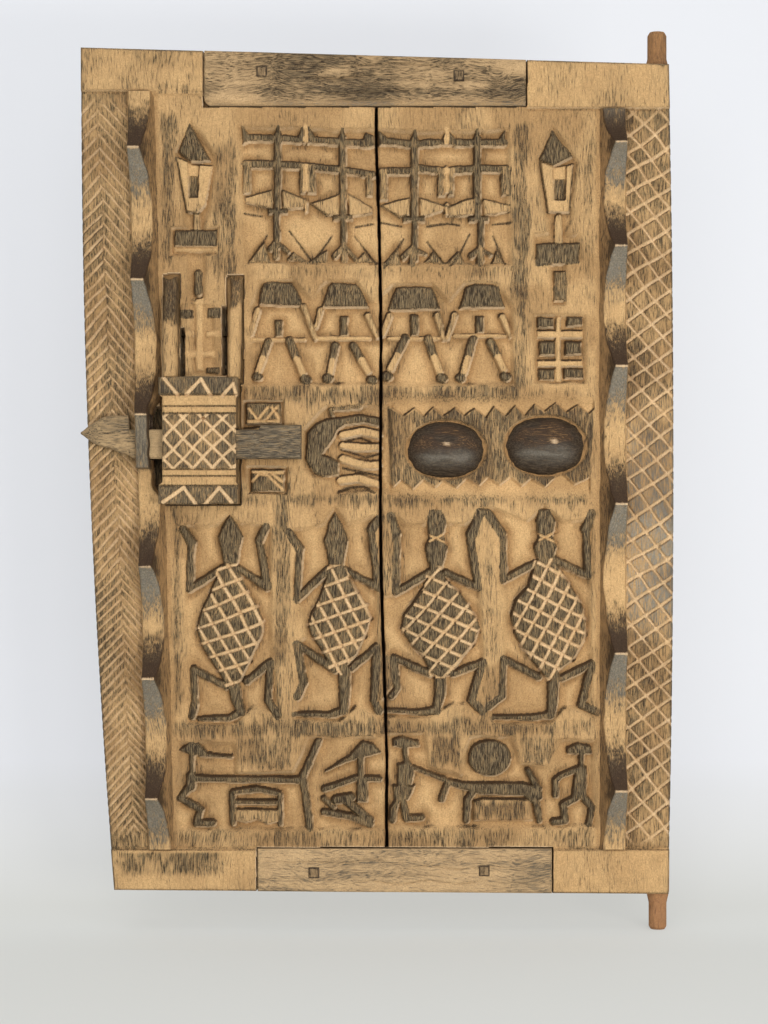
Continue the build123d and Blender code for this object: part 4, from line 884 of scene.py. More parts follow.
def close_open_rim(piece, depths=(), weld=0.0):
    """Carries the open rim of a mesh back through the given depths and closes it behind.

    weld is how near to each other corners are joined before that, in metres.
    """
    select_only(piece)
    bpy.ops.object.mode_set(mode="EDIT")
    if weld:
        bpy.ops.mesh.select_all(action="SELECT")
        bpy.ops.mesh.remove_doubles(threshold=weld)
    bpy.ops.mesh.select_mode(type="EDGE")
    bpy.ops.mesh.select_all(action="DESELECT")
    bpy.ops.mesh.select_non_manifold(extend=False, use_wire=False, use_boundary=True, use_multi_face=False,
                                     use_non_contiguous=False, use_verts=False)
    for depth in depths:
        bpy.ops.mesh.extrude_edges_move()
        bpy.ops.transform.resize(value=(1, 0, 1), center_override=(0, -depth * MM, 0))
    bpy.ops.mesh.edge_face_add()
    bpy.ops.mesh.select_all(action="SELECT")
    bpy.ops.mesh.normals_make_consistent(inside=False)
    bpy.ops.object.mode_set(mode="OBJECT")


def finish_piece(piece, material, body, node, angle=38):
    """Shades a piece, gives it its material and says what it belongs to. angle is where an edge stays sharp."""
    select_only(piece)
    bpy.ops.object.shade_smooth_by_angle(angle=math.radians(angle))
    piece.data.materials.clear()
    piece.data.materials.append(material)
    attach(piece, body)
    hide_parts(node)


# ---------------------------------------------------------------- materials
def links(tree):
    """Short way to add a node with its settings and join it up."""
    def add(kind, inputs=None, **settings):
        node = tree.nodes.new(kind)
        for key, value in settings.items():
            setattr(node, key, value)
        for key, value in (inputs or {}).items():
            socket = node.inputs[key]
            if isinstance(value, bpy.types.NodeSocket):
                tree.links.new(value, socket)
            else:
                socket.default_value = value
        return node
    return add


def mixed(add, factor, first, second):
    """A colour between two others."""
    node = add("ShaderNodeMix", {"Factor": factor, "A": first, "B": second}, data_type="RGBA")
    return node.outputs["Result"]


def worked_out(add, operation, first, second):
    """One step of arithmetic on two values."""
    return add("ShaderNodeMath", {0: first, 1: second}, operation=operation).outputs[0]


def spread(add, value, low, high, low_result=0.0, high_result=1.0):
    """A value brought from one range to another."""
    node = add("ShaderNodeMapRange", {"Value": value, "From Min": low, "From Max": high, "To Min": low_result,
                                      "To Max": high_result})
    return node.outputs["Result"]


def new_material(name):
    """An empty material, and the short way to add nodes to it."""
    material = bpy.data.materials.new(name)
    material.use_nodes = True
    material.node_tree.nodes.clear()
    return material, links(material.node_tree)


def new_group(name, inputs, outputs):
    group = bpy.data.node_groups.new(name, "ShaderNodeTree")
    for label, kind, value in inputs:
        socket = group.interface.new_socket(name=label, in_out="INPUT", socket_type=kind)
        if value is not None:
            socket.default_value = value
    for label, kind in outputs:
        group.interface.new_socket(name=label, in_out="OUTPUT", socket_type=kind)
    add = links(group)
    return group, add, add("NodeGroupInput"), add("NodeGroupOutput")


# wood grain: long streaks, pores and broad patches, along the local Z of the vector it is given
grain, add, given, out = new_group(
    "wood_grain",
    [("Vector", "NodeSocketVector", None), ("Wander", "NodeSocketFloat", 0.35)],
    [("Streak", "NodeSocketFloat"), ("Pores", "NodeSocketFloat"), ("Patch", "NodeSocketFloat")])
drift = add("ShaderNodeTexNoise", {"Vector": given.outputs["Vector"], "Scale": 22.0, "Detail": 2.0})
drifted = add("ShaderNodeVectorMath", {0: drift.outputs["Color"], 1: (0.5, 0.5, 0.5)}, operation="SUBTRACT")
strength = worked_out(add, "MULTIPLY", given.outputs["Wander"], 0.02)
scaled = add("ShaderNodeVectorMath", {0: drifted.outputs[0], "Scale": strength}, operation="SCALE")
moved = add("ShaderNodeVectorMath", {0: given.outputs["Vector"], 1: scaled.outputs[0]}, operation="ADD")
long_grain = add("ShaderNodeMapping", {"Vector": moved.outputs[0], "Scale": (1.0, 1.0, 0.10)})
streak = add("ShaderNodeTexNoise", {"Vector": long_grain.outputs[0], "Scale": 1200.0, "Detail": 3.0,
                                    "Roughness": 0.6})
pores = add("ShaderNodeTexNoise", {"Vector": long_grain.outputs[0], "Scale": 1500.0, "Detail": 2.0})
slow = add("ShaderNodeMapping", {"Vector": moved.outputs[0], "Scale": (1.0, 1.0, 0.45)})
patch = add("ShaderNodeTexNoise", {"Vector": slow.outputs[0], "Scale": 42.0, "Detail": 4.0, "Roughness": 0.6})
for label, source in (("Streak", streak), ("Pores", pores), ("Patch", patch)):
    grain.links.new(source.outputs["Fac"], out.inputs[label])

# clay dust: grains and cloudy drifts
dust, add, given, out = new_group(
    "clay_dust", [("Vector", "NodeSocketVector", None)],
    [("Grains", "NodeSocketFloat"), ("Drifts", "NodeSocketFloat")])
grains = add("ShaderNodeTexNoise", {"Vector": given.outputs["Vector"], "Scale": 850.0, "Detail": 3.0,
                                    "Roughness": 0.75})
drifts = add("ShaderNodeTexNoise", {"Vector": given.outputs["Vector"], "Scale": 60.0, "Detail": 5.0,
                                    "Roughness": 0.65})
dust.links.new(grains.outputs["Fac"], out.inputs["Grains"])
dust.links.new(drifts.outputs["Fac"], out.inputs["Drifts"])

# where bare wood shows through the clay: the worn tone, broken up by grain and patches
bare, add, given, out = new_group(
    "bare_wood",
    [("Worn", "NodeSocketFloat", 0.0), ("Streak", "NodeSocketFloat", 0.5), ("Patch", "NodeSocketFloat", 0.5),
     ("Grains", "NodeSocketFloat", 0.5)],
    [("Mask", "NodeSocketFloat")])
total = given.outputs["Worn"]
for label, weight in (("Streak", 2.5), ("Patch", 0.8), ("Grains", 1.3)):
    centred = worked_out(add, "ADD", given.outputs[label], -0.5)
    total = worked_out(add, "ADD", total, worked_out(add, "MULTIPLY", centred, weight))
mask = add("ShaderNodeMapRange", {"Value": total, "From Min": 0.08, "From Max": 0.96},
           interpolation_type="SMOOTHSTEP")
bare.links.new(mask.outputs["Result"], out.inputs["Mask"])


# what the tones do to the clay and to the bare wood: brown stain and painted shade, grey polish and painted sheen,
# pale clay and painted highlight
OCHRE_AND_SHADE = (0.275, 0.150, 0.058, 1)
PALE_CLAY_AND_HIGHLIGHT = (0.76, 0.58, 0.38, 1)
SILVER_AND_SHEEN = (0.25, 0.228, 0.182, 1)
DARK_UMBER_AND_SHADE = (0.040, 0.021, 0.010, 1)
TURNS = {"Z": (0, 0, 0), "X": (0, math.radians(90), 0)}


def wood(name, clay, dark, along="Z", worn=None, polish=0.62, wander=0.35, relief=1.0):
    """Wood under clay dust. clay and dark are pairs of colours, along is the way of the grain.

    worn is how far the clay has gone, or nothing where the piece's own tones say it.
    """
    material, add = new_material(name)
    coords = add("ShaderNodeTexCoord")
    turned = add("ShaderNodeMapping", {"Vector": coords.outputs["Object"], "Rotation": TURNS[along]})
    fibres = add("ShaderNodeGroup", {"Vector": turned.outputs[0], "Wander": wander}, node_tree=grain)
    powder = add("ShaderNodeGroup", {"Vector": coords.outputs["Object"]}, node_tree=dust)
    clay_colour = mixed(add, powder.outputs["Drifts"], (*clay[0], 1), (*clay[1], 1))
    dark_colour = mixed(add, spread(add, fibres.outputs["Pores"], 0.40, 0.66), (*dark[0], 1), (*dark[1], 1))
    bareness = worn
    if worn is None:
        # the piece's own tones carry painted light as well: painted shade in the brown, painted sheen in the grey,
        # painted highlight in the alpha
        layer = add("ShaderNodeAttribute", attribute_type="GEOMETRY", attribute_name="wear_and_painted_light")
        tones = add("ShaderNodeSeparateColor", {"Color": layer.outputs["Color"]})
        bareness, grey, brown_and_shade = (tones.outputs[label] for label in ("Red", "Green", "Blue"))
        clay_colour = mixed(add, brown_and_shade, clay_colour, OCHRE_AND_SHADE)
        clay_colour = mixed(add, worked_out(add, "MULTIPLY", layer.outputs["Alpha"], 0.6), clay_colour, PALE_CLAY_AND_HIGHLIGHT)
        dark_colour = mixed(add, grey, dark_colour, SILVER_AND_SHEEN)
        dark_colour = mixed(add, brown_and_shade, dark_colour, DARK_UMBER_AND_SHADE)
    shows = add("ShaderNodeGroup", {"Worn": bareness, "Streak": fibres.outputs["Streak"],
                                    "Patch": fibres.outputs["Patch"], "Grains": powder.outputs["Grains"]},
                node_tree=bare)
    mask = shows.outputs["Mask"]
    speck = spread(add, powder.outputs["Grains"], 0.32, 0.68, 0.68, 1.24)
    combed = spread(add, fibres.outputs["Streak"], 0.32, 0.68, 0.82, 1.15)
    lit = add("ShaderNodeVectorMath", {0: mixed(add, mask, clay_colour, dark_colour),
                                       "Scale": worked_out(add, "MULTIPLY", speck, combed)}, operation="SCALE")
    rough = spread(add, mask, 0.0, 1.0, 0.92, polish)
    height = worked_out(add, "ADD", worked_out(add, "MULTIPLY", fibres.outputs["Streak"], mask),
                        worked_out(add, "MULTIPLY", powder.outputs["Grains"], 0.45))
    bump = add("ShaderNodeBump", {"Height": height, "Strength": 0.55 * relief, "Distance": 0.0011})
    shader = add("ShaderNodeBsdfPrincipled", {"Base Color": lit.outputs[0], "Roughness": rough,
                                              "Normal": bump.outputs["Normal"], "Specular IOR Level": 0.18})
    add("ShaderNodeOutputMaterial", {"Surface": shader.outputs[0]})
    return material


CLAY = ((0.63, 0.410, 0.190), (0.45, 0.270, 0.118))
WEATHERED = ((0.026, 0.016, 0.007), (0.190, 0.134, 0.068))
carved_wood = wood("carved_wood_under_clay", CLAY, WEATHERED)
cleat_wood = wood("cleat_wood_weathered", ((0.60, 0.410, 0.215), (0.42, 0.275, 0.140)),
                  ((0.026, 0.016, 0.008), (0.195, 0.138, 0.074)), along="X", wander=0.9, relief=1.3)
bolt_wood = wood("bolt_wood_handled", ((0.50, 0.350, 0.185), (0.38, 0.255, 0.130)),
                 ((0.030, 0.021, 0.012), (0.180, 0.136, 0.082)), along="X", polish=0.5)
dome_wood = wood("dome_wood_rubbed", ((0.28, 0.17, 0.08), (0.17, 0.10, 0.05)),
                 ((0.009, 0.006, 0.003), (0.066, 0.046, 0.026)), along="X", polish=0.45, relief=0.8)
pivot_wood = wood("pivot_wood_turned", ((0.46, 0.24, 0.11), (0.36, 0.17, 0.07)),
                  ((0.12, 0.055, 0.025), (0.30, 0.16, 0.08)))
peg_wood = wood("peg_end_grain", ((0.40, 0.28, 0.155), (0.28, 0.19, 0.10)),
                ((0.030, 0.020, 0.012), (0.13, 0.09, 0.052)), relief=1.4)


# ---------------------------------------------------------------- plank fronts
ACROSS = 292  # steps of the grid across a plank
STEP_UP = 0.76  # height of its steps
SEAM_GAP = 0.03  # from the seam to the wood behind the open joint


def plank_front(name, node, left, right, low_z, high_z, foot, top):
    """One length of a plank's front. left and right are its edges at z, foot and top its ends at x."""
    piece, u, v = flat_grid(name, ACROSS, int(round((high_z - low_z) / STEP_UP)))
    z = low_z + (high_z - low_z) * v
    x = left(z) * (1 - u) + right(z) * u
    z = foot(x) + (top(x) - foot(x)) * v
    x = left(z) * (1 - u) + right(z) * u
    depth, worn, grey, brown_and_shade, highlight_and_pale_clay = carve(x, z, ACROSS + 1)
    rounding = np.minimum(x - left(z), right(z) - x)
    rounding = np.minimum(rounding, np.minimum(z - foot_edge(x), top_edge(x) - z))
    hand_cut = 2.2 + uneven(x, z, 20, 20, 20, 1.6)
    at_seam = 1 - smooth(2.0, 4.0, np.abs(x - seam(z)))
    depth = depth - (1.8 - 1.1 * at_seam) * (1 - smooth(0, 1, rounding / hand_cut)) ** 2
    worn = np.clip(worn + 0.45 * (1 - at_seam) * (1 - smooth(0.0, 2.0, rounding)), 0, 1)
    # painted shade along the seam
    brown_and_shade = np.clip(brown_and_shade + 0.6 * (1 - smooth(0.2, 1.6, np.abs(x - seam(z)) - 0.8)), 0, 1)
    write_points(piece, x, depth, z)
    face_outwards(piece)
    close_open_rim(piece, (7.0, -4.5, -7.5, -9.0))
    co = read_points(piece)
    count = len(depth)
    sx, sd, sz = co[count:, 0] / MM, -co[count:, 1] / MM, co[count:, 2] / MM
    inward = (noise(sz, sd, 24, 9, 21) + noise(sz, sd, 5, 5, 22) * 0.3) * 0.9
    at_left = sx - left(sz) < 0.5
    at_right = right(sz) - sx < 0.5
    tight = sd < -6
    sx = np.where(at_left, np.where((left is right_seam) & tight, seam(sz) - SEAM_GAP, sx + inward), sx)
    sx = np.where(at_right, np.where((right is left_seam) & tight, seam(sz) + SEAM_GAP, sx - inward), sx)
    co[count:, 0] = sx * MM
    place_points(piece, *co.T)
    # the sides in the seam are painted dark and brown as shade
    in_seam = (at_left & (left is right_seam)) | (at_right & (right is left_seam))
    write_tones(piece, (worn, grey, brown_and_shade, highlight_and_pale_clay),
                (np.where(in_seam, 0.95, 0.42), 0.0, np.where(in_seam, 1.0, 0.25), 0.0))
    finish_piece(piece, carved_wood, "door", node)


def left_seam(z):
    return seam(z) - 0.9 - 0.6 * noise(z, z, 9, 9, 23)


def right_seam(z):
    return seam(z) + 0.9 + 0.6 * noise(z, z, 9, 9, 24)


LEVELS = (FOOT_Z, 238.0, 446.0, TOP_Z)
for number, (low, high) in enumerate(zip(LEVELS, LEVELS[1:]), start=1):
    foot = foot_edge if low == FOOT_Z else constant(low)
    top = top_edge if high == TOP_Z else constant(high)
    plank_front(f"left_plank_front_{number}", "left_plank", free_edge, left_seam, low, high, foot, top)
    plank_front(f"right_plank_front_{number}", "right_plank", right_seam, hinge_edge, low, high, foot, top)


# ---------------------------------------------------------------- plank backs
def plank_back(name, node, left, right):
    """The back, dressed flat with an adze whose strokes still show."""
    piece, u, v = flat_grid(name, 150, 180)
    z = FOOT_Z + (TOP_Z - FOOT_Z) * v
    low_x = seam(z) - SEAM_GAP if left is right_seam else left(z) + 0.6
    high_x = seam(z) + SEAM_GAP if right is left_seam else right(z) - 0.6
    x = low_x * (1 - u) + high_x * u
    z = foot_edge(x) + 0.6 + (top_edge(x) - foot_edge(x) - 1.2) * v
    strokes = np.abs(((z + 14 * noise(x, z, 30, 60, 30)) / 26.0) % 1.0 - 0.5) * 2
    hollow = 1.5 * strokes ** 2 * (0.4 + 0.6 * noise(x, z, 34, 26, 31)) + 0.5 * noise(x, z, 5, 30, 32)
    rounding = np.minimum(np.minimum(x - left(z), right(z) - x), np.minimum(z - foot_edge(x), top_edge(x) - z))
    depth = BACK + 0.1 + np.minimum(hollow, 1.9) + 1.6 * (1 - smooth(0.3, 4.0, rounding)) ** 2
    at_seam = 1 - smooth(0.6, 2.2, np.abs(x - seam(z)))
    depth = depth + 1.6 * at_seam
    write_points(piece, x, depth, z)
    face_outwards(piece)
    close_open_rim(piece, (-8.0,))
    # painted shade along the seam
    face = (0.30 + 0.35 * noise(x, z, 40, 120, 33)) * (1 - at_seam) + 1.3 * at_seam
    write_tones(piece, (face, 0.0, 0.12 + 0.85 * at_seam), (0.4, 0.0, 0.12, 0.0))
    finish_piece(piece, carved_wood, "door", node)


plank_back("left_plank_back", "left_plank", free_edge, left_seam)
plank_back("right_plank_back", "right_plank", right_seam, hinge_edge)


# ---------------------------------------------------------------- rims
def rim(name, node, outer, inward, crests, low_z, high_z, opening=None):
    """Ridge hewn into thorns: a round hollow between each crest and the next.

    Over an opening the ridge stays as a bridge, and beside it the ridge is cut narrow.
    """
    piece, u, v = flat_grid(name, 44, 640)
    z = low_z + (high_z - low_z) * v
    ends = np.array([2 * low_z - crests[-1]] + crests[::-1] + [2 * high_z - crests[0]])
    above = np.clip(np.searchsorted(ends, z, side="right"), 1, len(ends) - 1)
    below_crest = ends[above] - z
    over_crest = z - ends[above - 1]
    half = (ends[above] - ends[above - 1]) / 2
    fall = 15.6  # depth of the hollows
    radius = (half ** 2 + fall ** 2) / (2 * fall)
    top = CREST - fall + radius - np.sqrt(radius ** 2 - (z - ends[above - 1] - half) ** 2)
    top = top + uneven(z, z, 6, 6, 40, 0.6)
    bridge = np.zeros(z.shape)
    if opening:
        bridge = smooth(345.0, 346.2, z) * (z < 385.9)
        top = np.maximum(top, BRIDGE * bridge)
    width = 19.6 - 0.45 * (top - SURFACE) + uneven(z, z, 14, 14, 41, 1.2)
    foot_width = 20.4 + uneven(z, z, 30, 30, 42, 1.2)
    if opening:
        beside = within(322, 334, 388, 400, z)
        width = width * (1 - beside) + np.minimum(width, 10.6 + uneven(z, z, 8, 8, 48, 1.2)) * beside
        foot_width = foot_width * (1 - beside) + 12.4 * beside
    foot = 11.6
    corners_u = np.array([0.0, 0.20, 0.24, 0.28, 0.58, 0.62, 0.66, 0.92, 1.0])
    corners_x = [0.0, 0.4, 0.9, 2.0, width - 2.2, width - 0.7, width, foot_width, 0.0]
    corners_d = [foot, top - 2.2, top - 0.8, top - 0.2, top - 0.3, top - 0.9, top - 2.4, foot, foot]
    across = np.zeros(z.shape)
    depth = np.zeros(z.shape)
    for k in range(len(corners_u) - 1):
        part = (u >= corners_u[k] - 1e-9) & (u <= corners_u[k + 1] + 1e-9)
        t = np.clip((u - corners_u[k]) / (corners_u[k + 1] - corners_u[k]), 0, 1)
        across = np.where(part, corners_x[k] * (1 - t) + corners_x[k + 1] * t, across)
        depth = np.where(part, corners_d[k] * (1 - t) + corners_d[k + 1] * t, depth)
    rough = uneven(across + 50, z, 3, 4, 43, 0.6) + uneven(across, z, 7, 16, 44, 0.7)
    on_top = (u > 0.02) & (u < 0.92)
    depth = np.where(on_top, depth + rough * 0.6, depth)
    depth = np.minimum(depth, CREST + 0.1)
    x = outer(z) + inward * (across + np.where(on_top, rough * 0.5, 0))
    write_points(piece, x, depth, z)
    # painted light and shade: the facet above each crest faces up and gets brown and painted shade, the grey polished
    # facet below it faces down and gets painted light, the crest a painted highlight, and the inner wall painted
    # shade where the rim is high
    ragged = uneven(across, z, 5, 7, 45, 7) + uneven(across, z, 1.5, 3, 47, 9)
    umber_and_shade_above_crest = 1 - smooth(6, 44, over_crest + ragged)
    grey_and_light_below_crest = np.maximum(1 - smooth(10, 50, below_crest + ragged), 0.85 * bridge)
    face = within(0.20, 0.26, 0.60, 0.66, u)
    inner_wall = smooth(0.60, 0.64, u)
    speckled = 0.85 + 0.5 * noise(across, z, 2.0, 2.4, 46)
    streaked = 0.72 + 0.45 * noise(across, z, 2.0, 3.6, 49)
    worn = face * np.maximum(umber_and_shade_above_crest * speckled, grey_and_light_below_crest * streaked) + 0.16
    worn = worn + inner_wall * (0.25 + 0.65 * smooth(25, 31, top) * (1 - smooth(0.68, 0.80, u)))
    grey = face * grey_and_light_below_crest * (0.55 - 0.25 * bridge)
    brown_and_shade = np.clip(0.95 * face * umber_and_shade_above_crest + 0.75 * inner_wall + 0.5 * (1 - face) * (1 - inner_wall), 0, 1)
    highlight_and_pale_clay = face * peak(np.minimum(below_crest, over_crest), 0.9)
    worn = worn * (1 - highlight_and_pale_clay)
    write_tones(piece, (worn, grey, brown_and_shade, highlight_and_pale_clay))
    close_open_rim(piece, weld=0.00002)
    if opening:
        cut_box(piece, *opening)
    finish_piece(piece, carved_wood, "door", node, 30)


def cut_box(piece, low, high):
    """Cuts a straight opening through a piece. low and high are (x, depth, z)."""
    bpy.ops.object.select_all(action="DESELECT")
    centre = [(a + b) / 2 * MM for a, b in zip(low, high)]
    size = [abs(b - a) * MM for a, b in zip(low, high)]
    bpy.ops.mesh.primitive_cube_add(size=1.0, location=(centre[0], -centre[1], centre[2]),
                                    scale=(size[0], size[1], size[2]))
    cutter = bpy.context.object
    modifier = piece.modifiers.new("opening", "BOOLEAN")
    modifier.operation = "DIFFERENCE"
    modifier.solver = "EXACT"
    modifier.object = cutter
    select_only(piece)
    bpy.ops.object.modifier_apply(modifier="opening")
    bpy.data.objects.remove(cutter)


rim("left_rim", "left_plank", left_rim_outer, 1, [584.1, 485.9, 385.9, 272.9, 189.9, 100.8], STRIP_FOOT,
    FREE_RIM_TOP, ((-405.0, BOLT_BACK - 0.4, 352.3), (-360.0, BOLT_FRONT + 0.6, 386.0)))
rim("right_rim", "right_plank", right_rim_outer, -1, [588.2, 511.1, 421.8, 319.6, 208.6, 106.5], STRIP_FOOT,
    HINGE_RIM_TOP)


# ---------------------------------------------------------------- faces hewn from a block: cleats, case, horns, bolt
def hewn_block(name, node, material, body, left, right, low, high, front, back, cell, tones, edge_round=1.2):
    """A block with a worked front. left and right are its edges at z, low and high its ends at x.

    front gives the depth and tones the tones at x and z. cell is the size of the grid's steps.
    """
    width = abs(right(0.0) - left(0.0))
    height = abs(high(0.0) - low(0.0))
    piece, u, v = flat_grid(name, max(4, int(width / cell)), max(4, int(height / cell)))
    z0 = low(0.0) + (high(0.0) - low(0.0)) * v
    x = left(z0) * (1 - u) + right(z0) * u
    z = low(x) * (1 - v) + high(x) * v
    x = left(z) * (1 - u) + right(z) * u
    rounding = np.minimum(np.minimum(x - left(z), right(z) - x), np.minimum(z - low(x), high(x) - z))
    depth = front(x, z) - edge_round * (1 - smooth(0, 1, rounding / (edge_round * 1.3))) ** 2
    write_points(piece, x, depth, z)
    face_outwards(piece)
    close_open_rim(piece, [back + (depth.min() - 1.5 - back) * share for share in (1.0, 0.5, 0.0)])
    write_tones(piece, tones(x, z), (0.55, 0.0, 0.35, 0.0))
    finish_piece(piece, material, body, node)
    return piece


def with_checks(depth, x, z, checks, stretch, sway, seed, width):
    """Splits that run along a batten. Each check is its low x, high x, level and depth."""
    for low_x, high_x, level, deep in checks:
        along = within(low_x, low_x + 20, high_x - 25, high_x, x)
        wander = (noise(x, z * 0, stretch, stretch, seed) - 0.5) * sway
        depth = depth - deep * along * peak(z - level - wander, width)
    return depth


# top cleat: long grain, dark checks along it, a bevelled lower edge
def top_cleat_front(x, z):
    depth = CLEAT - 0.5 + uneven(x, z, 60, 9, 50, 0.9) + uneven(x, z, 24, 1.6, 51, 0.5)
    depth = with_checks(depth, x, z, ((-270, -205, 640, 1.6), (-262, -170, 628, 1.2), (-240, -150, 648, 1.1),
                                      (-330, -292, 625, 1.0), (-205, -120, 636.5, 0.8)), 16, 5, 52, 0.9)
    return depth - 3.2 * (1 - smooth(617.5, 624.0, z)) ** 1.5


def top_cleat_tones(x, z):
    middle = within(-312, -280, -215, -180, x)
    pale = smooth(0.50, 0.75, noise(x, z, 26, 9, 59))
    worn = 0.24 + 0.32 * middle + 0.34 * noise(x, z, 34, 7, 53) + 0.18 * smooth(-180, -160, x) - 0.32 * pale
    low_band = peak(z - 627 - 3 * noise(x, 0 * z, 40, 9, 54), 3.6)
    worn = worn + 0.36 * low_band * smooth(-338, -300, x)
    # the lower bevel faces down and is painted pale grey as light from below
    lit_bevel = 1 - smooth(619, 622, z)
    return worn * (1 - 0.4 * lit_bevel), 0.8 * lit_bevel, 0.1


def cleat_corner(x):
    """The lower edge, rounded off where the batten meets the left end of its housing."""
    return TOP_CLEAT_Z + 3.4 * (1 - np.clip((x - TOP_CLEAT_X[0]) / 4.5, 0, 1)) ** 2


hewn_block("top_cleat_batten", "top_cleat", cleat_wood, "door", constant(TOP_CLEAT_X[0]),
           constant(TOP_CLEAT_X[1]), cleat_corner, lambda x: top_edge(x) - 0.3, top_cleat_front, HOUSING + 0.1, 0.8,
           top_cleat_tones)


def bottom_cleat_front(x, z):
    depth = CLEAT - 0.5 + uneven(x, z, 70, 7, 55, 0.9) + uneven(x, z, 30, 1.6, 56, 0.6)
    return with_checks(depth, x, z, ((-296, -190, 52, 0.9), (-200, -95, 47, 1.0), (-240, -120, 36, 0.9)),
                       22, 4, 57, 0.8)


def bottom_cleat_tones(x, z):
    worn = 0.12 + 0.42 * noise(x, z, 50, 4, 58) + 0.18 * smooth(-130, -100, x)
    return worn, 0.2, 0.0


hewn_block("bottom_cleat_batten", "bottom_cleat", cleat_wood, "door", constant(FOOT_CLEAT_X[0]),
           constant(FOOT_CLEAT_X[1]), lambda x: foot_edge(x) + 0.3, constant(FOOT_CLEAT_Z), bottom_cleat_front,
           HOUSING + 0.1, 0.8, bottom_cleat_tones)


# square pegs: heads that stand a little out of their cleat, split by the wedge
def peg(name, node, centre_x, centre_z, side=8.0):
    def front(x, z):
        return CLEAT + 0.5 + uneven(x, z, 2.2, 2.2, 60, 0.6) - 0.5 * peak(x - centre_x, 0.7)

    def tones(x, z):
        from_side = side / 2 - np.maximum(np.abs(x - centre_x), np.abs(z - centre_z))
        return 0.15 + 0.5 * noise(x, z, 2, 3, 61) + 0.8 * (1 - smooth(0.4, 1.4, from_side)), 0.0, 0.2

    hewn_block(name, node, peg_wood, "door", constant(centre_x - side / 2), constant(centre_x + side / 2),
               constant(centre_z - side / 2), constant(centre_z + side / 2), front, BACK + 0.1, 0.4, tones, 0.7)


for cleat, number, centre_x, centre_z in (("top", 1, -298.5, 643.0), ("top", 2, -151.0, 640.0),
                                          ("bottom", 1, -259.5, 43.5), ("bottom", 2, -132.0, 45.0)):
    peg(f"{cleat}_cleat_peg_{number}", f"{cleat}_cleat_pegs", centre_x, centre_z)


# ---------------------------------------------------------------- lock case
def case_carving(x, z):
    """Where the case's front has grooves, from 0 to 1, where its netted panel is, and where its plain ridges are."""
    edge = hewn(x, z) * 0.5
    lines = [
        [(-370.7, 413.5), (-360.1, 400.7)], [(-353.4, 400.7), (-342.7, 412.1), (-335.4, 400.1)],
        [(-326.7, 399.4), (-318.6, 408.8), (-316.6, 400)],
        [(-370.7, 320.7), (-355.3, 331.6), (-346.2, 318.9)], [(-339.8, 318.9), (-328.9, 331.6), (-319.8, 320.7)],
    ]
    groove_share = np.zeros(x.shape)
    for line in lines:
        distance = line_distance(x, z, line, [0.0] * len(line)) + edge
        groove_share = np.maximum(groove_share, 1 - smooth(0.8, 1.9, distance))
    panel = within(345.0, 346.0, 385.6, 386.6, z)
    aside, above = x + 348.5, z - 368  # from the panel's middle
    warp = uneven(x, z, 16, 16, 62, 2.4)
    net = np.maximum(parallel_grooves(aside + above + warp, 14.6, 3.2 + edge),
                     parallel_grooves(aside - above - warp, 14.6, 3.2 + edge))
    groove_share = np.maximum(groove_share, net * panel)
    ridges = ((z > 386.6) & (z < 400.4)) | ((z > 332.8) & (z < 345.0))
    return groove_share, panel, ridges


def case_front(x, z):
    groove_share, _, ridges = case_carving(x, z)
    depth = CASE_FRONT - 0.7 + uneven(x, z, 30, 40, 63, 0.8) + uneven(x, z, 1.2, 14, 64, 0.3)
    depth = depth - 1.3 * groove_share - 1.0 * np.where(ridges, 1, 0)
    for level, deep in ((400.5, 1.4), (391.8, 1.2), (386.4, 1.4), (345.2, 1.4), (340.0, 1.2), (332.6, 1.4)):
        depth = depth - deep * peak(z - level, 0.8)
    small_hole = np.hypot(x + 341.2, z - 383.0)
    return depth - 4.0 * (1 - smooth(0.7, 1.5, small_hole))


def case_tones(x, z):
    groove_share, panel, ridges = case_carving(x, z)
    worn = np.where(ridges, 0.12, 0.88 - 0.10 * panel + uneven(x, z, 8, 12, 65, 0.3))
    for level in (400.2, 391.8, 386.6, 345.0, 340.0, 332.9):
        worn = np.maximum(worn, 0.9 * peak(z - level - 0.3, 0.75))
    grey = np.where(ridges, 0.0, 0.06)
    return worn * (1 - groove_share), grey * (1 - groove_share), 0.1 * (1 - groove_share), 0.6 * groove_share


def case_left(z):
    return -374.2 + 2.8 * within(333.0, 336.0, 398.0, 401.0, z)


def case_right(z):
    return -315.3 - 1.6 * within(333.0, 336.0, 398.0, 401.0, z)


case = hewn_block("lock_case_body", "lock_case", carved_wood, "door", case_left, case_right,
                  lambda x: 319.4 + 0.4 * np.sin(x / 9), lambda x: 413.6 - 0.5 * np.sin(x / 13), case_front,
                  CASE_BACK, 0.5, case_tones)
cut_box(case, (-378.0, BOLT_BACK - 0.4, 352.4), (-310.0, BOLT_FRONT + 0.6, 375.8))


def horn(name, foot_x, top_x, width, top_z, dark_from):
    """One of the two posts over the case. It is dark from the height dark_from upwards."""
    def middle(z):
        return foot_x + (top_x - foot_x) * (z - HORN_FOOT) / 76

    def front(x, z):
        lean = smooth(440, 492, z)
        across = (x - middle(z)) / (width / 2)
        return 27.0 - 8.0 * lean - 1.6 * np.abs(across) ** 3 + uneven(x, z, 5, 16, 70, 1.4)

    def tones(x, z):
        dark = smooth(dark_from - 5, dark_from + 5, z + uneven(x, z, 4, 6, 71, 14))
        return 0.24 + 0.62 * dark, 0.0, 0.15 + 0.35 * dark

    def side(offset):
        return lambda z: middle(z) + offset + uneven(z, z, 11, 11, 72, 1.0)

    hewn_block(name, "lock_case", carved_wood, "door", side(-width / 2), side(width / 2),
               constant(HORN_FOOT), lambda x: top_z + 1.2 * np.sin(x / 2.0), front, CASE_BACK, 0.7, tones, 1.4)


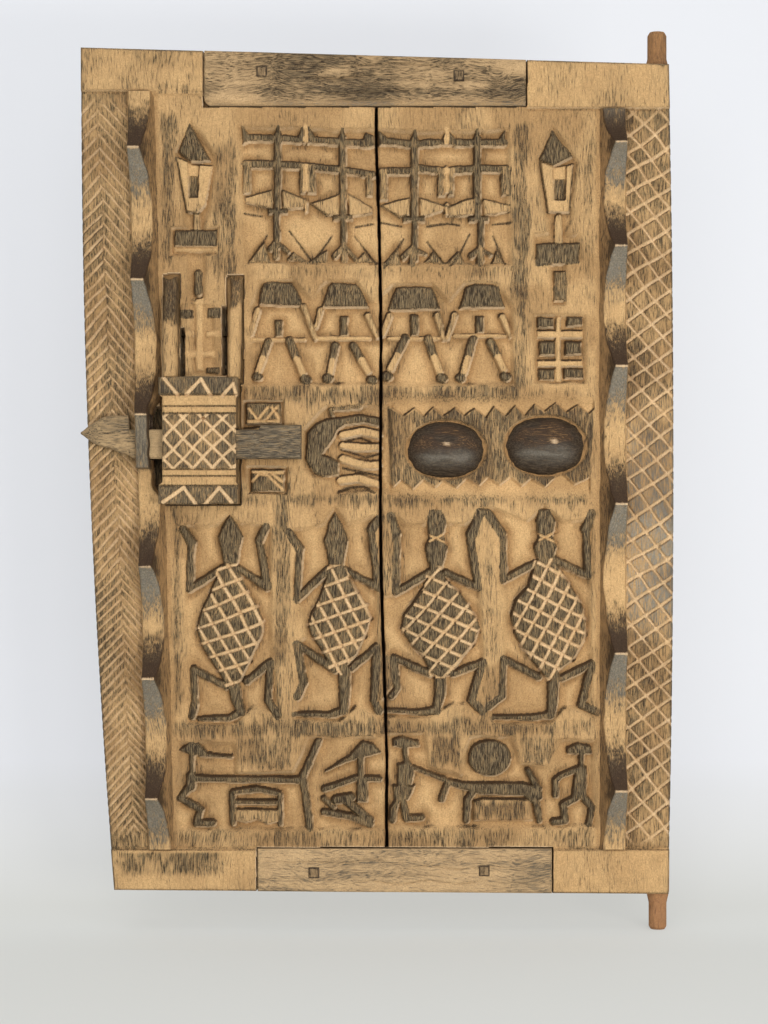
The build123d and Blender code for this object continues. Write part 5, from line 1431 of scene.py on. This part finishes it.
horn("lock_case_horn_left", -366.2, -366.6, 10.6, 488.6, 452.0)
horn("lock_case_horn_right", -319.0, -317.0, 9.0, 488.0, 470.0)


# ---------------------------------------------------------------- bolt
def bolt_low(x):
    return np.interp(x, [-433.6, -431, -428.9, -423.5, -417, -410.7, -404.4, -397.5, -393.5, -380, -268.5],
                     [371.6, 369.8, 368.2, 364.4, 362.2, 360.7, 357.5, 355.8, 353.2, 353.2, 353.0])


def bolt_high(x):
    return np.interp(x, [-433.6, -431, -429.4, -423.9, -417.1, -411.6, -397.3, -396.6, -380, -300.2, -299.0, -268.5],
                     [373.4, 375.4, 376.8, 380.2, 384.0, 385.4, 385.6, 375.0, 375.0, 375.0, 378.6, 378.4])


def bolt_face(x, z):
    centre = (bolt_low(x) + bolt_high(x)) / 2
    half = (bolt_high(x) - bolt_low(x)) / 2
    across = np.abs(z - centre) / np.maximum(half, 1.0)
    head = 1 - smooth(-400, -394, x)
    depth = BOLT_FRONT - 0.4 - head * (1.8 * across ** 2 + 5.5 * (1 - smooth(-434, -412, x)) ** 1.5)
    depth = depth + uneven(x, z, 20, 4, 75, 0.8) + uneven(x, z, 12, 1.3, 76, 0.4)
    return depth - 0.8 * smooth(-302, -270, x) * (1 - smooth(0, 1.5, x + 300)) - 0.6 * across ** 6


def bolt_tones(x, z):
    worn = 0.36 + 0.22 * noise(x, z, 20, 4, 77) + 0.46 * smooth(-320, -312, x)
    worn = worn - 0.38 * within(-384, -380, -330, -318, x)
    return worn, 0.06 * smooth(-320, -312, x), 0.05


hewn_block("lock_bolt_bar", "lock_bolt", bolt_wood, "bolt", constant(-433.8), constant(-268.7),
           bolt_low, lambda x: bolt_high(x) if np.ndim(x) else 376.0, bolt_face, BOLT_BACK + 0.1, 0.6, bolt_tones)


# ---------------------------------------------------------------- domes
def dome(name, centre_x, centre_z, half_x, half_z, highlight_x, highlight_z):
    """A boss left standing in its moat and faceted by the adze, with a painted highlight at one place."""
    bpy.ops.object.select_all(action="DESELECT")
    bpy.ops.mesh.primitive_uv_sphere_add(segments=96, ring_count=64, radius=1.0, location=(0, 0, 0))
    piece = named(name)
    across, back, up = read_points(piece).T
    around = np.arctan2(up, across)
    facet = 1 - 0.03 * noise(around * 20, back * 8, 5, 5, 80) - 0.012 * np.abs(np.sin(around * 9))
    x = centre_x + across * (half_x + 1.6) * facet
    z = centre_z + up * (half_z + 2.0) * facet
    front = np.maximum(-back, 0.0)
    four_sided = 1 - np.maximum(np.abs(across * 0.92), np.abs(up))
    rise = np.where(back > 1e-5, -back, 0.62 * front ** 1.2 + 0.38 * four_sided)
    depth = 7.2 + 13.4 * rise + uneven(x, z, 7, 4, 81, 0.9) - 0.5 * (rise > 0.93)
    write_points(piece, x, np.minimum(depth, 20.9), z)
    # tones: warm brown on the upper half, painted sheen in a grey band under the middle, and a painted highlight
    # round the given spot
    from_middle = np.hypot(across, up)
    warm = smooth(0.42, 0.70, noise(x, z, 13, 6, 82)) * smooth(-0.25, 0.2, up)
    warm = warm * (1 - smooth(0.70, 0.92, from_middle))
    band = peak(up + 0.26, 0.24) * (1 - smooth(0.35, 0.85, np.abs(across)))
    middle = np.exp(-(((x - highlight_x) / 3.2) ** 2 + ((z - highlight_z) / 2.2) ** 2))
    streaked = 0.35 + 0.9 * noise(x, z, 9, 1.6, 84)
    write_tones(piece, ((1.25 - 0.42 * warm) * (1 - 0.9 * middle), 0.55 * band * streaked, 0.30 + 0.55 * warm,
                        middle))
    face_outwards(piece)
    finish_piece(piece, dome_wood, "door", "right_plank", 40)


# the second pair of each is where that dome's painted highlight sits
for number, (place, rubbed) in enumerate(zip(DOMES, ((-159.8, 365.0), (-79.6, 366.2))), start=1):
    dome(f"dome_{number}", *place, *rubbed)


# ---------------------------------------------------------------- pivots
def pivot(name, centre_x, levels, radii):
    """Peg hewn from the plank's edge, round where it turns. radii are its radii at the levels."""
    piece, u, v = flat_grid(name, 48, 70)
    turn = u * 2 * math.pi
    z = levels[0] + (levels[-1] - levels[0]) * v
    facets = 0.25 * np.abs(np.sin(turn * 4.5))
    facets = facets + uneven(np.cos(turn) * 6, z + np.sin(turn) * 6, 4, 22, 85, 0.35)
    radius = np.interp(z, levels, radii) - facets * 0.8 - 0.2
    write_points(piece, centre_x + radius * np.cos(turn), radius * np.sin(turn), z)
    close_open_rim(piece, weld=0.00001)
    write_tones(piece, (0.35, 0.0, 0.5 * smooth(20, 300, read_points(piece)[:, 2] / MM)))
    finish_piece(piece, pivot_wood, "door", "right_plank", 30)


pivot("upper_pivot_peg", -0.6, (630, 649, 656, 673.5, 675.9), (9.4, 9.4, 7.6, 7.4, 6.0))
pivot("lower_pivot_peg", 0.0, (-1.4, 0.4, 18, 27, 50), (5.8, 7.0, 7.0, 9.0, 9.2))

# ---------------------------------------------------------------- pieces that stay as the solids have them
hidden_wood = wood("inner_peg_wood", ((0.42, 0.25, 0.11), (0.30, 0.17, 0.08)),
                   ((0.06, 0.04, 0.02), (0.2, 0.13, 0.07)), worn=0.5)
iron, add = new_material("pin_iron_forged")
coords = add("ShaderNodeTexCoord")
forged = add("ShaderNodeTexNoise", {"Vector": coords.outputs["Object"], "Scale": 700.0, "Detail": 5.0}).outputs["Fac"]
bump = add("ShaderNodeBump", {"Height": forged, "Strength": 0.4, "Distance": 0.0003})
shader = add("ShaderNodeBsdfPrincipled", {
    "Base Color": mixed(add, forged, (0.05, 0.04, 0.035, 1), (0.16, 0.08, 0.045, 1)), "Metallic": 0.8,
    "Roughness": spread(add, forged, 0.0, 1.0, 0.45, 0.8), "Normal": bump.outputs["Normal"]})
add("ShaderNodeOutputMaterial", {"Surface": shader.outputs[0]})
for node_name, material in (("lock_case_pegs", hidden_wood), ("tumbler_1", iron), ("tumbler_2", iron),
                            ("tumbler_3", iron)):
    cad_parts[node_name].data.materials.clear()
    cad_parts[node_name].data.materials.append(material)

# ---------------------------------------------------------------- floor, backdrop, light and camera
FLOOR_LENGTH, SHEET_LENGTH = 3.0, 6.0  # metres from here on
SHEET_WIDTH, MIDDLE_X = 7.0, -0.2
BEND_RADIUS, WALL_Y = 0.14, 0.22

backdrop, u, v = flat_grid("backdrop", 8, 40)
run = v * SHEET_LENGTH
bend = np.clip((run - FLOOR_LENGTH) / (BEND_RADIUS * math.pi / 2), 0, 1) * math.pi / 2
up = np.maximum(run - FLOOR_LENGTH - BEND_RADIUS * math.pi / 2, 0)
on_floor = run < FLOOR_LENGTH
bend_y = WALL_Y - BEND_RADIUS
place_points(backdrop, (u - 0.5) * SHEET_WIDTH + MIDDLE_X,
             np.where(on_floor, bend_y - FLOOR_LENGTH + run, bend_y + BEND_RADIUS * np.sin(bend)),
             np.where(on_floor, 0.0, BEND_RADIUS * (1 - np.cos(bend))) + up - 0.0016)
for polygon in backdrop.data.polygons:
    polygon.use_smooth = True

# the floor goes on behind the wall, a hair lower
bpy.ops.object.select_all(action="DESELECT")
bpy.ops.mesh.primitive_plane_add(size=1.0, location=(0, 0, 0))
floor_behind = named("floor_behind")
co = read_points(floor_behind)
place_points(floor_behind, co[:, 0] * SHEET_WIDTH + MIDDLE_X, (co[:, 1] + 0.5) * 3.0 + bend_y, co[:, 2] - 0.0017)

paper, add = new_material("backdrop_paper")
coords = add("ShaderNodeTexCoord")
apart = add("ShaderNodeSeparateXYZ", {"Vector": coords.outputs["Object"]})
rise = spread(add, apart.outputs["Z"], 0.0, 0.10)
tint = mixed(add, rise, (0.70, 0.705, 0.675, 1), (0.80, 0.815, 0.85, 1))
diffuse = add("ShaderNodeBsdfPrincipled", {"Base Color": tint, "Roughness": 0.9})
glow = add("ShaderNodeEmission", {"Color": tint, "Strength": 0.97})
ray = add("ShaderNodeLightPath")
seen = worked_out(add, "MAXIMUM", ray.outputs["Is Camera Ray"], ray.outputs["Is Glossy Ray"])
seen = worked_out(add, "MAXIMUM", seen, ray.outputs["Is Transmission Ray"])
sheet = add("ShaderNodeMixShader", {0: worked_out(add, "MULTIPLY", seen, 0.55), 1: diffuse.outputs[0],
                                    2: glow.outputs[0]})
# the wall is a one-way sheet: it shows from the front only, and lets the room's light through to the door's back
upright = worked_out(add, "MULTIPLY", worked_out(add, "SUBTRACT", 1.0, seen), rise)
side = add("ShaderNodeNewGeometry")
through = worked_out(add, "MAXIMUM", upright, side.outputs["Backfacing"])
clear = add("ShaderNodeBsdfTransparent")
one_way = add("ShaderNodeMixShader", {0: through, 1: sheet.outputs[0], 2: clear.outputs[0]})
add("ShaderNodeOutputMaterial", {"Surface": one_way.outputs[0]})
for piece in (backdrop, floor_behind):
    piece.data.materials.append(paper)


def lamp(name, place, aim, size, power, colour, beam=180):
    """A rectangular lamp that the camera doesn't see. beam is how wide it shines, in degrees."""
    light = bpy.data.lights.new(name, "AREA")
    light.shape = "RECTANGLE"
    light.size = size[0]
    light.size_y = size[1]
    light.energy = power
    light.color = colour
    light.spread = math.radians(beam)
    holder = bpy.data.objects.new(name, light)
    bpy.context.scene.collection.objects.link(holder)
    holder.location = place
    holder.rotation_euler = (Vector(aim) - Vector(place)).to_track_quat("-Z", "Y").to_euler()
    holder.visible_camera = False


door_middle = (-0.207, -0.01, 0.33)
lamp("low_light", (0.38, -1.15, 0.16), door_middle, (0.6, 0.22), 2.3, (1.0, 0.985, 0.96), 90)
lamp("front_light", (-0.4, -2.4, 0.8), door_middle, (1.4, 1.0), 18.0, (1.0, 0.99, 0.975))
lamp("wall_light", (-0.5, -0.9, 1.7), (-0.4, 0.2, 0.3), (1.6, 0.6), 4.5, (0.94, 0.97, 1.0))

world = bpy.data.worlds.new("studio")
bpy.context.scene.world = world
world.use_nodes = True
world.node_tree.nodes["Background"].inputs["Color"].default_value = (0.965, 0.98, 1.0, 1)
world.node_tree.nodes["Background"].inputs["Strength"].default_value = 0.72

camera_data = bpy.data.cameras.new("camera")
camera_data.lens = 70.0
camera_data.sensor_width = 36.0
camera = bpy.data.objects.new("camera", camera_data)
bpy.context.scene.collection.objects.link(camera)
camera.location = (-0.207, -1.5065, 0.3135)
camera.rotation_euler = (math.radians(90), 0, 0)
bpy.context.scene.camera = camera
bpy.context.scene.view_settings.view_transform = "Standard"
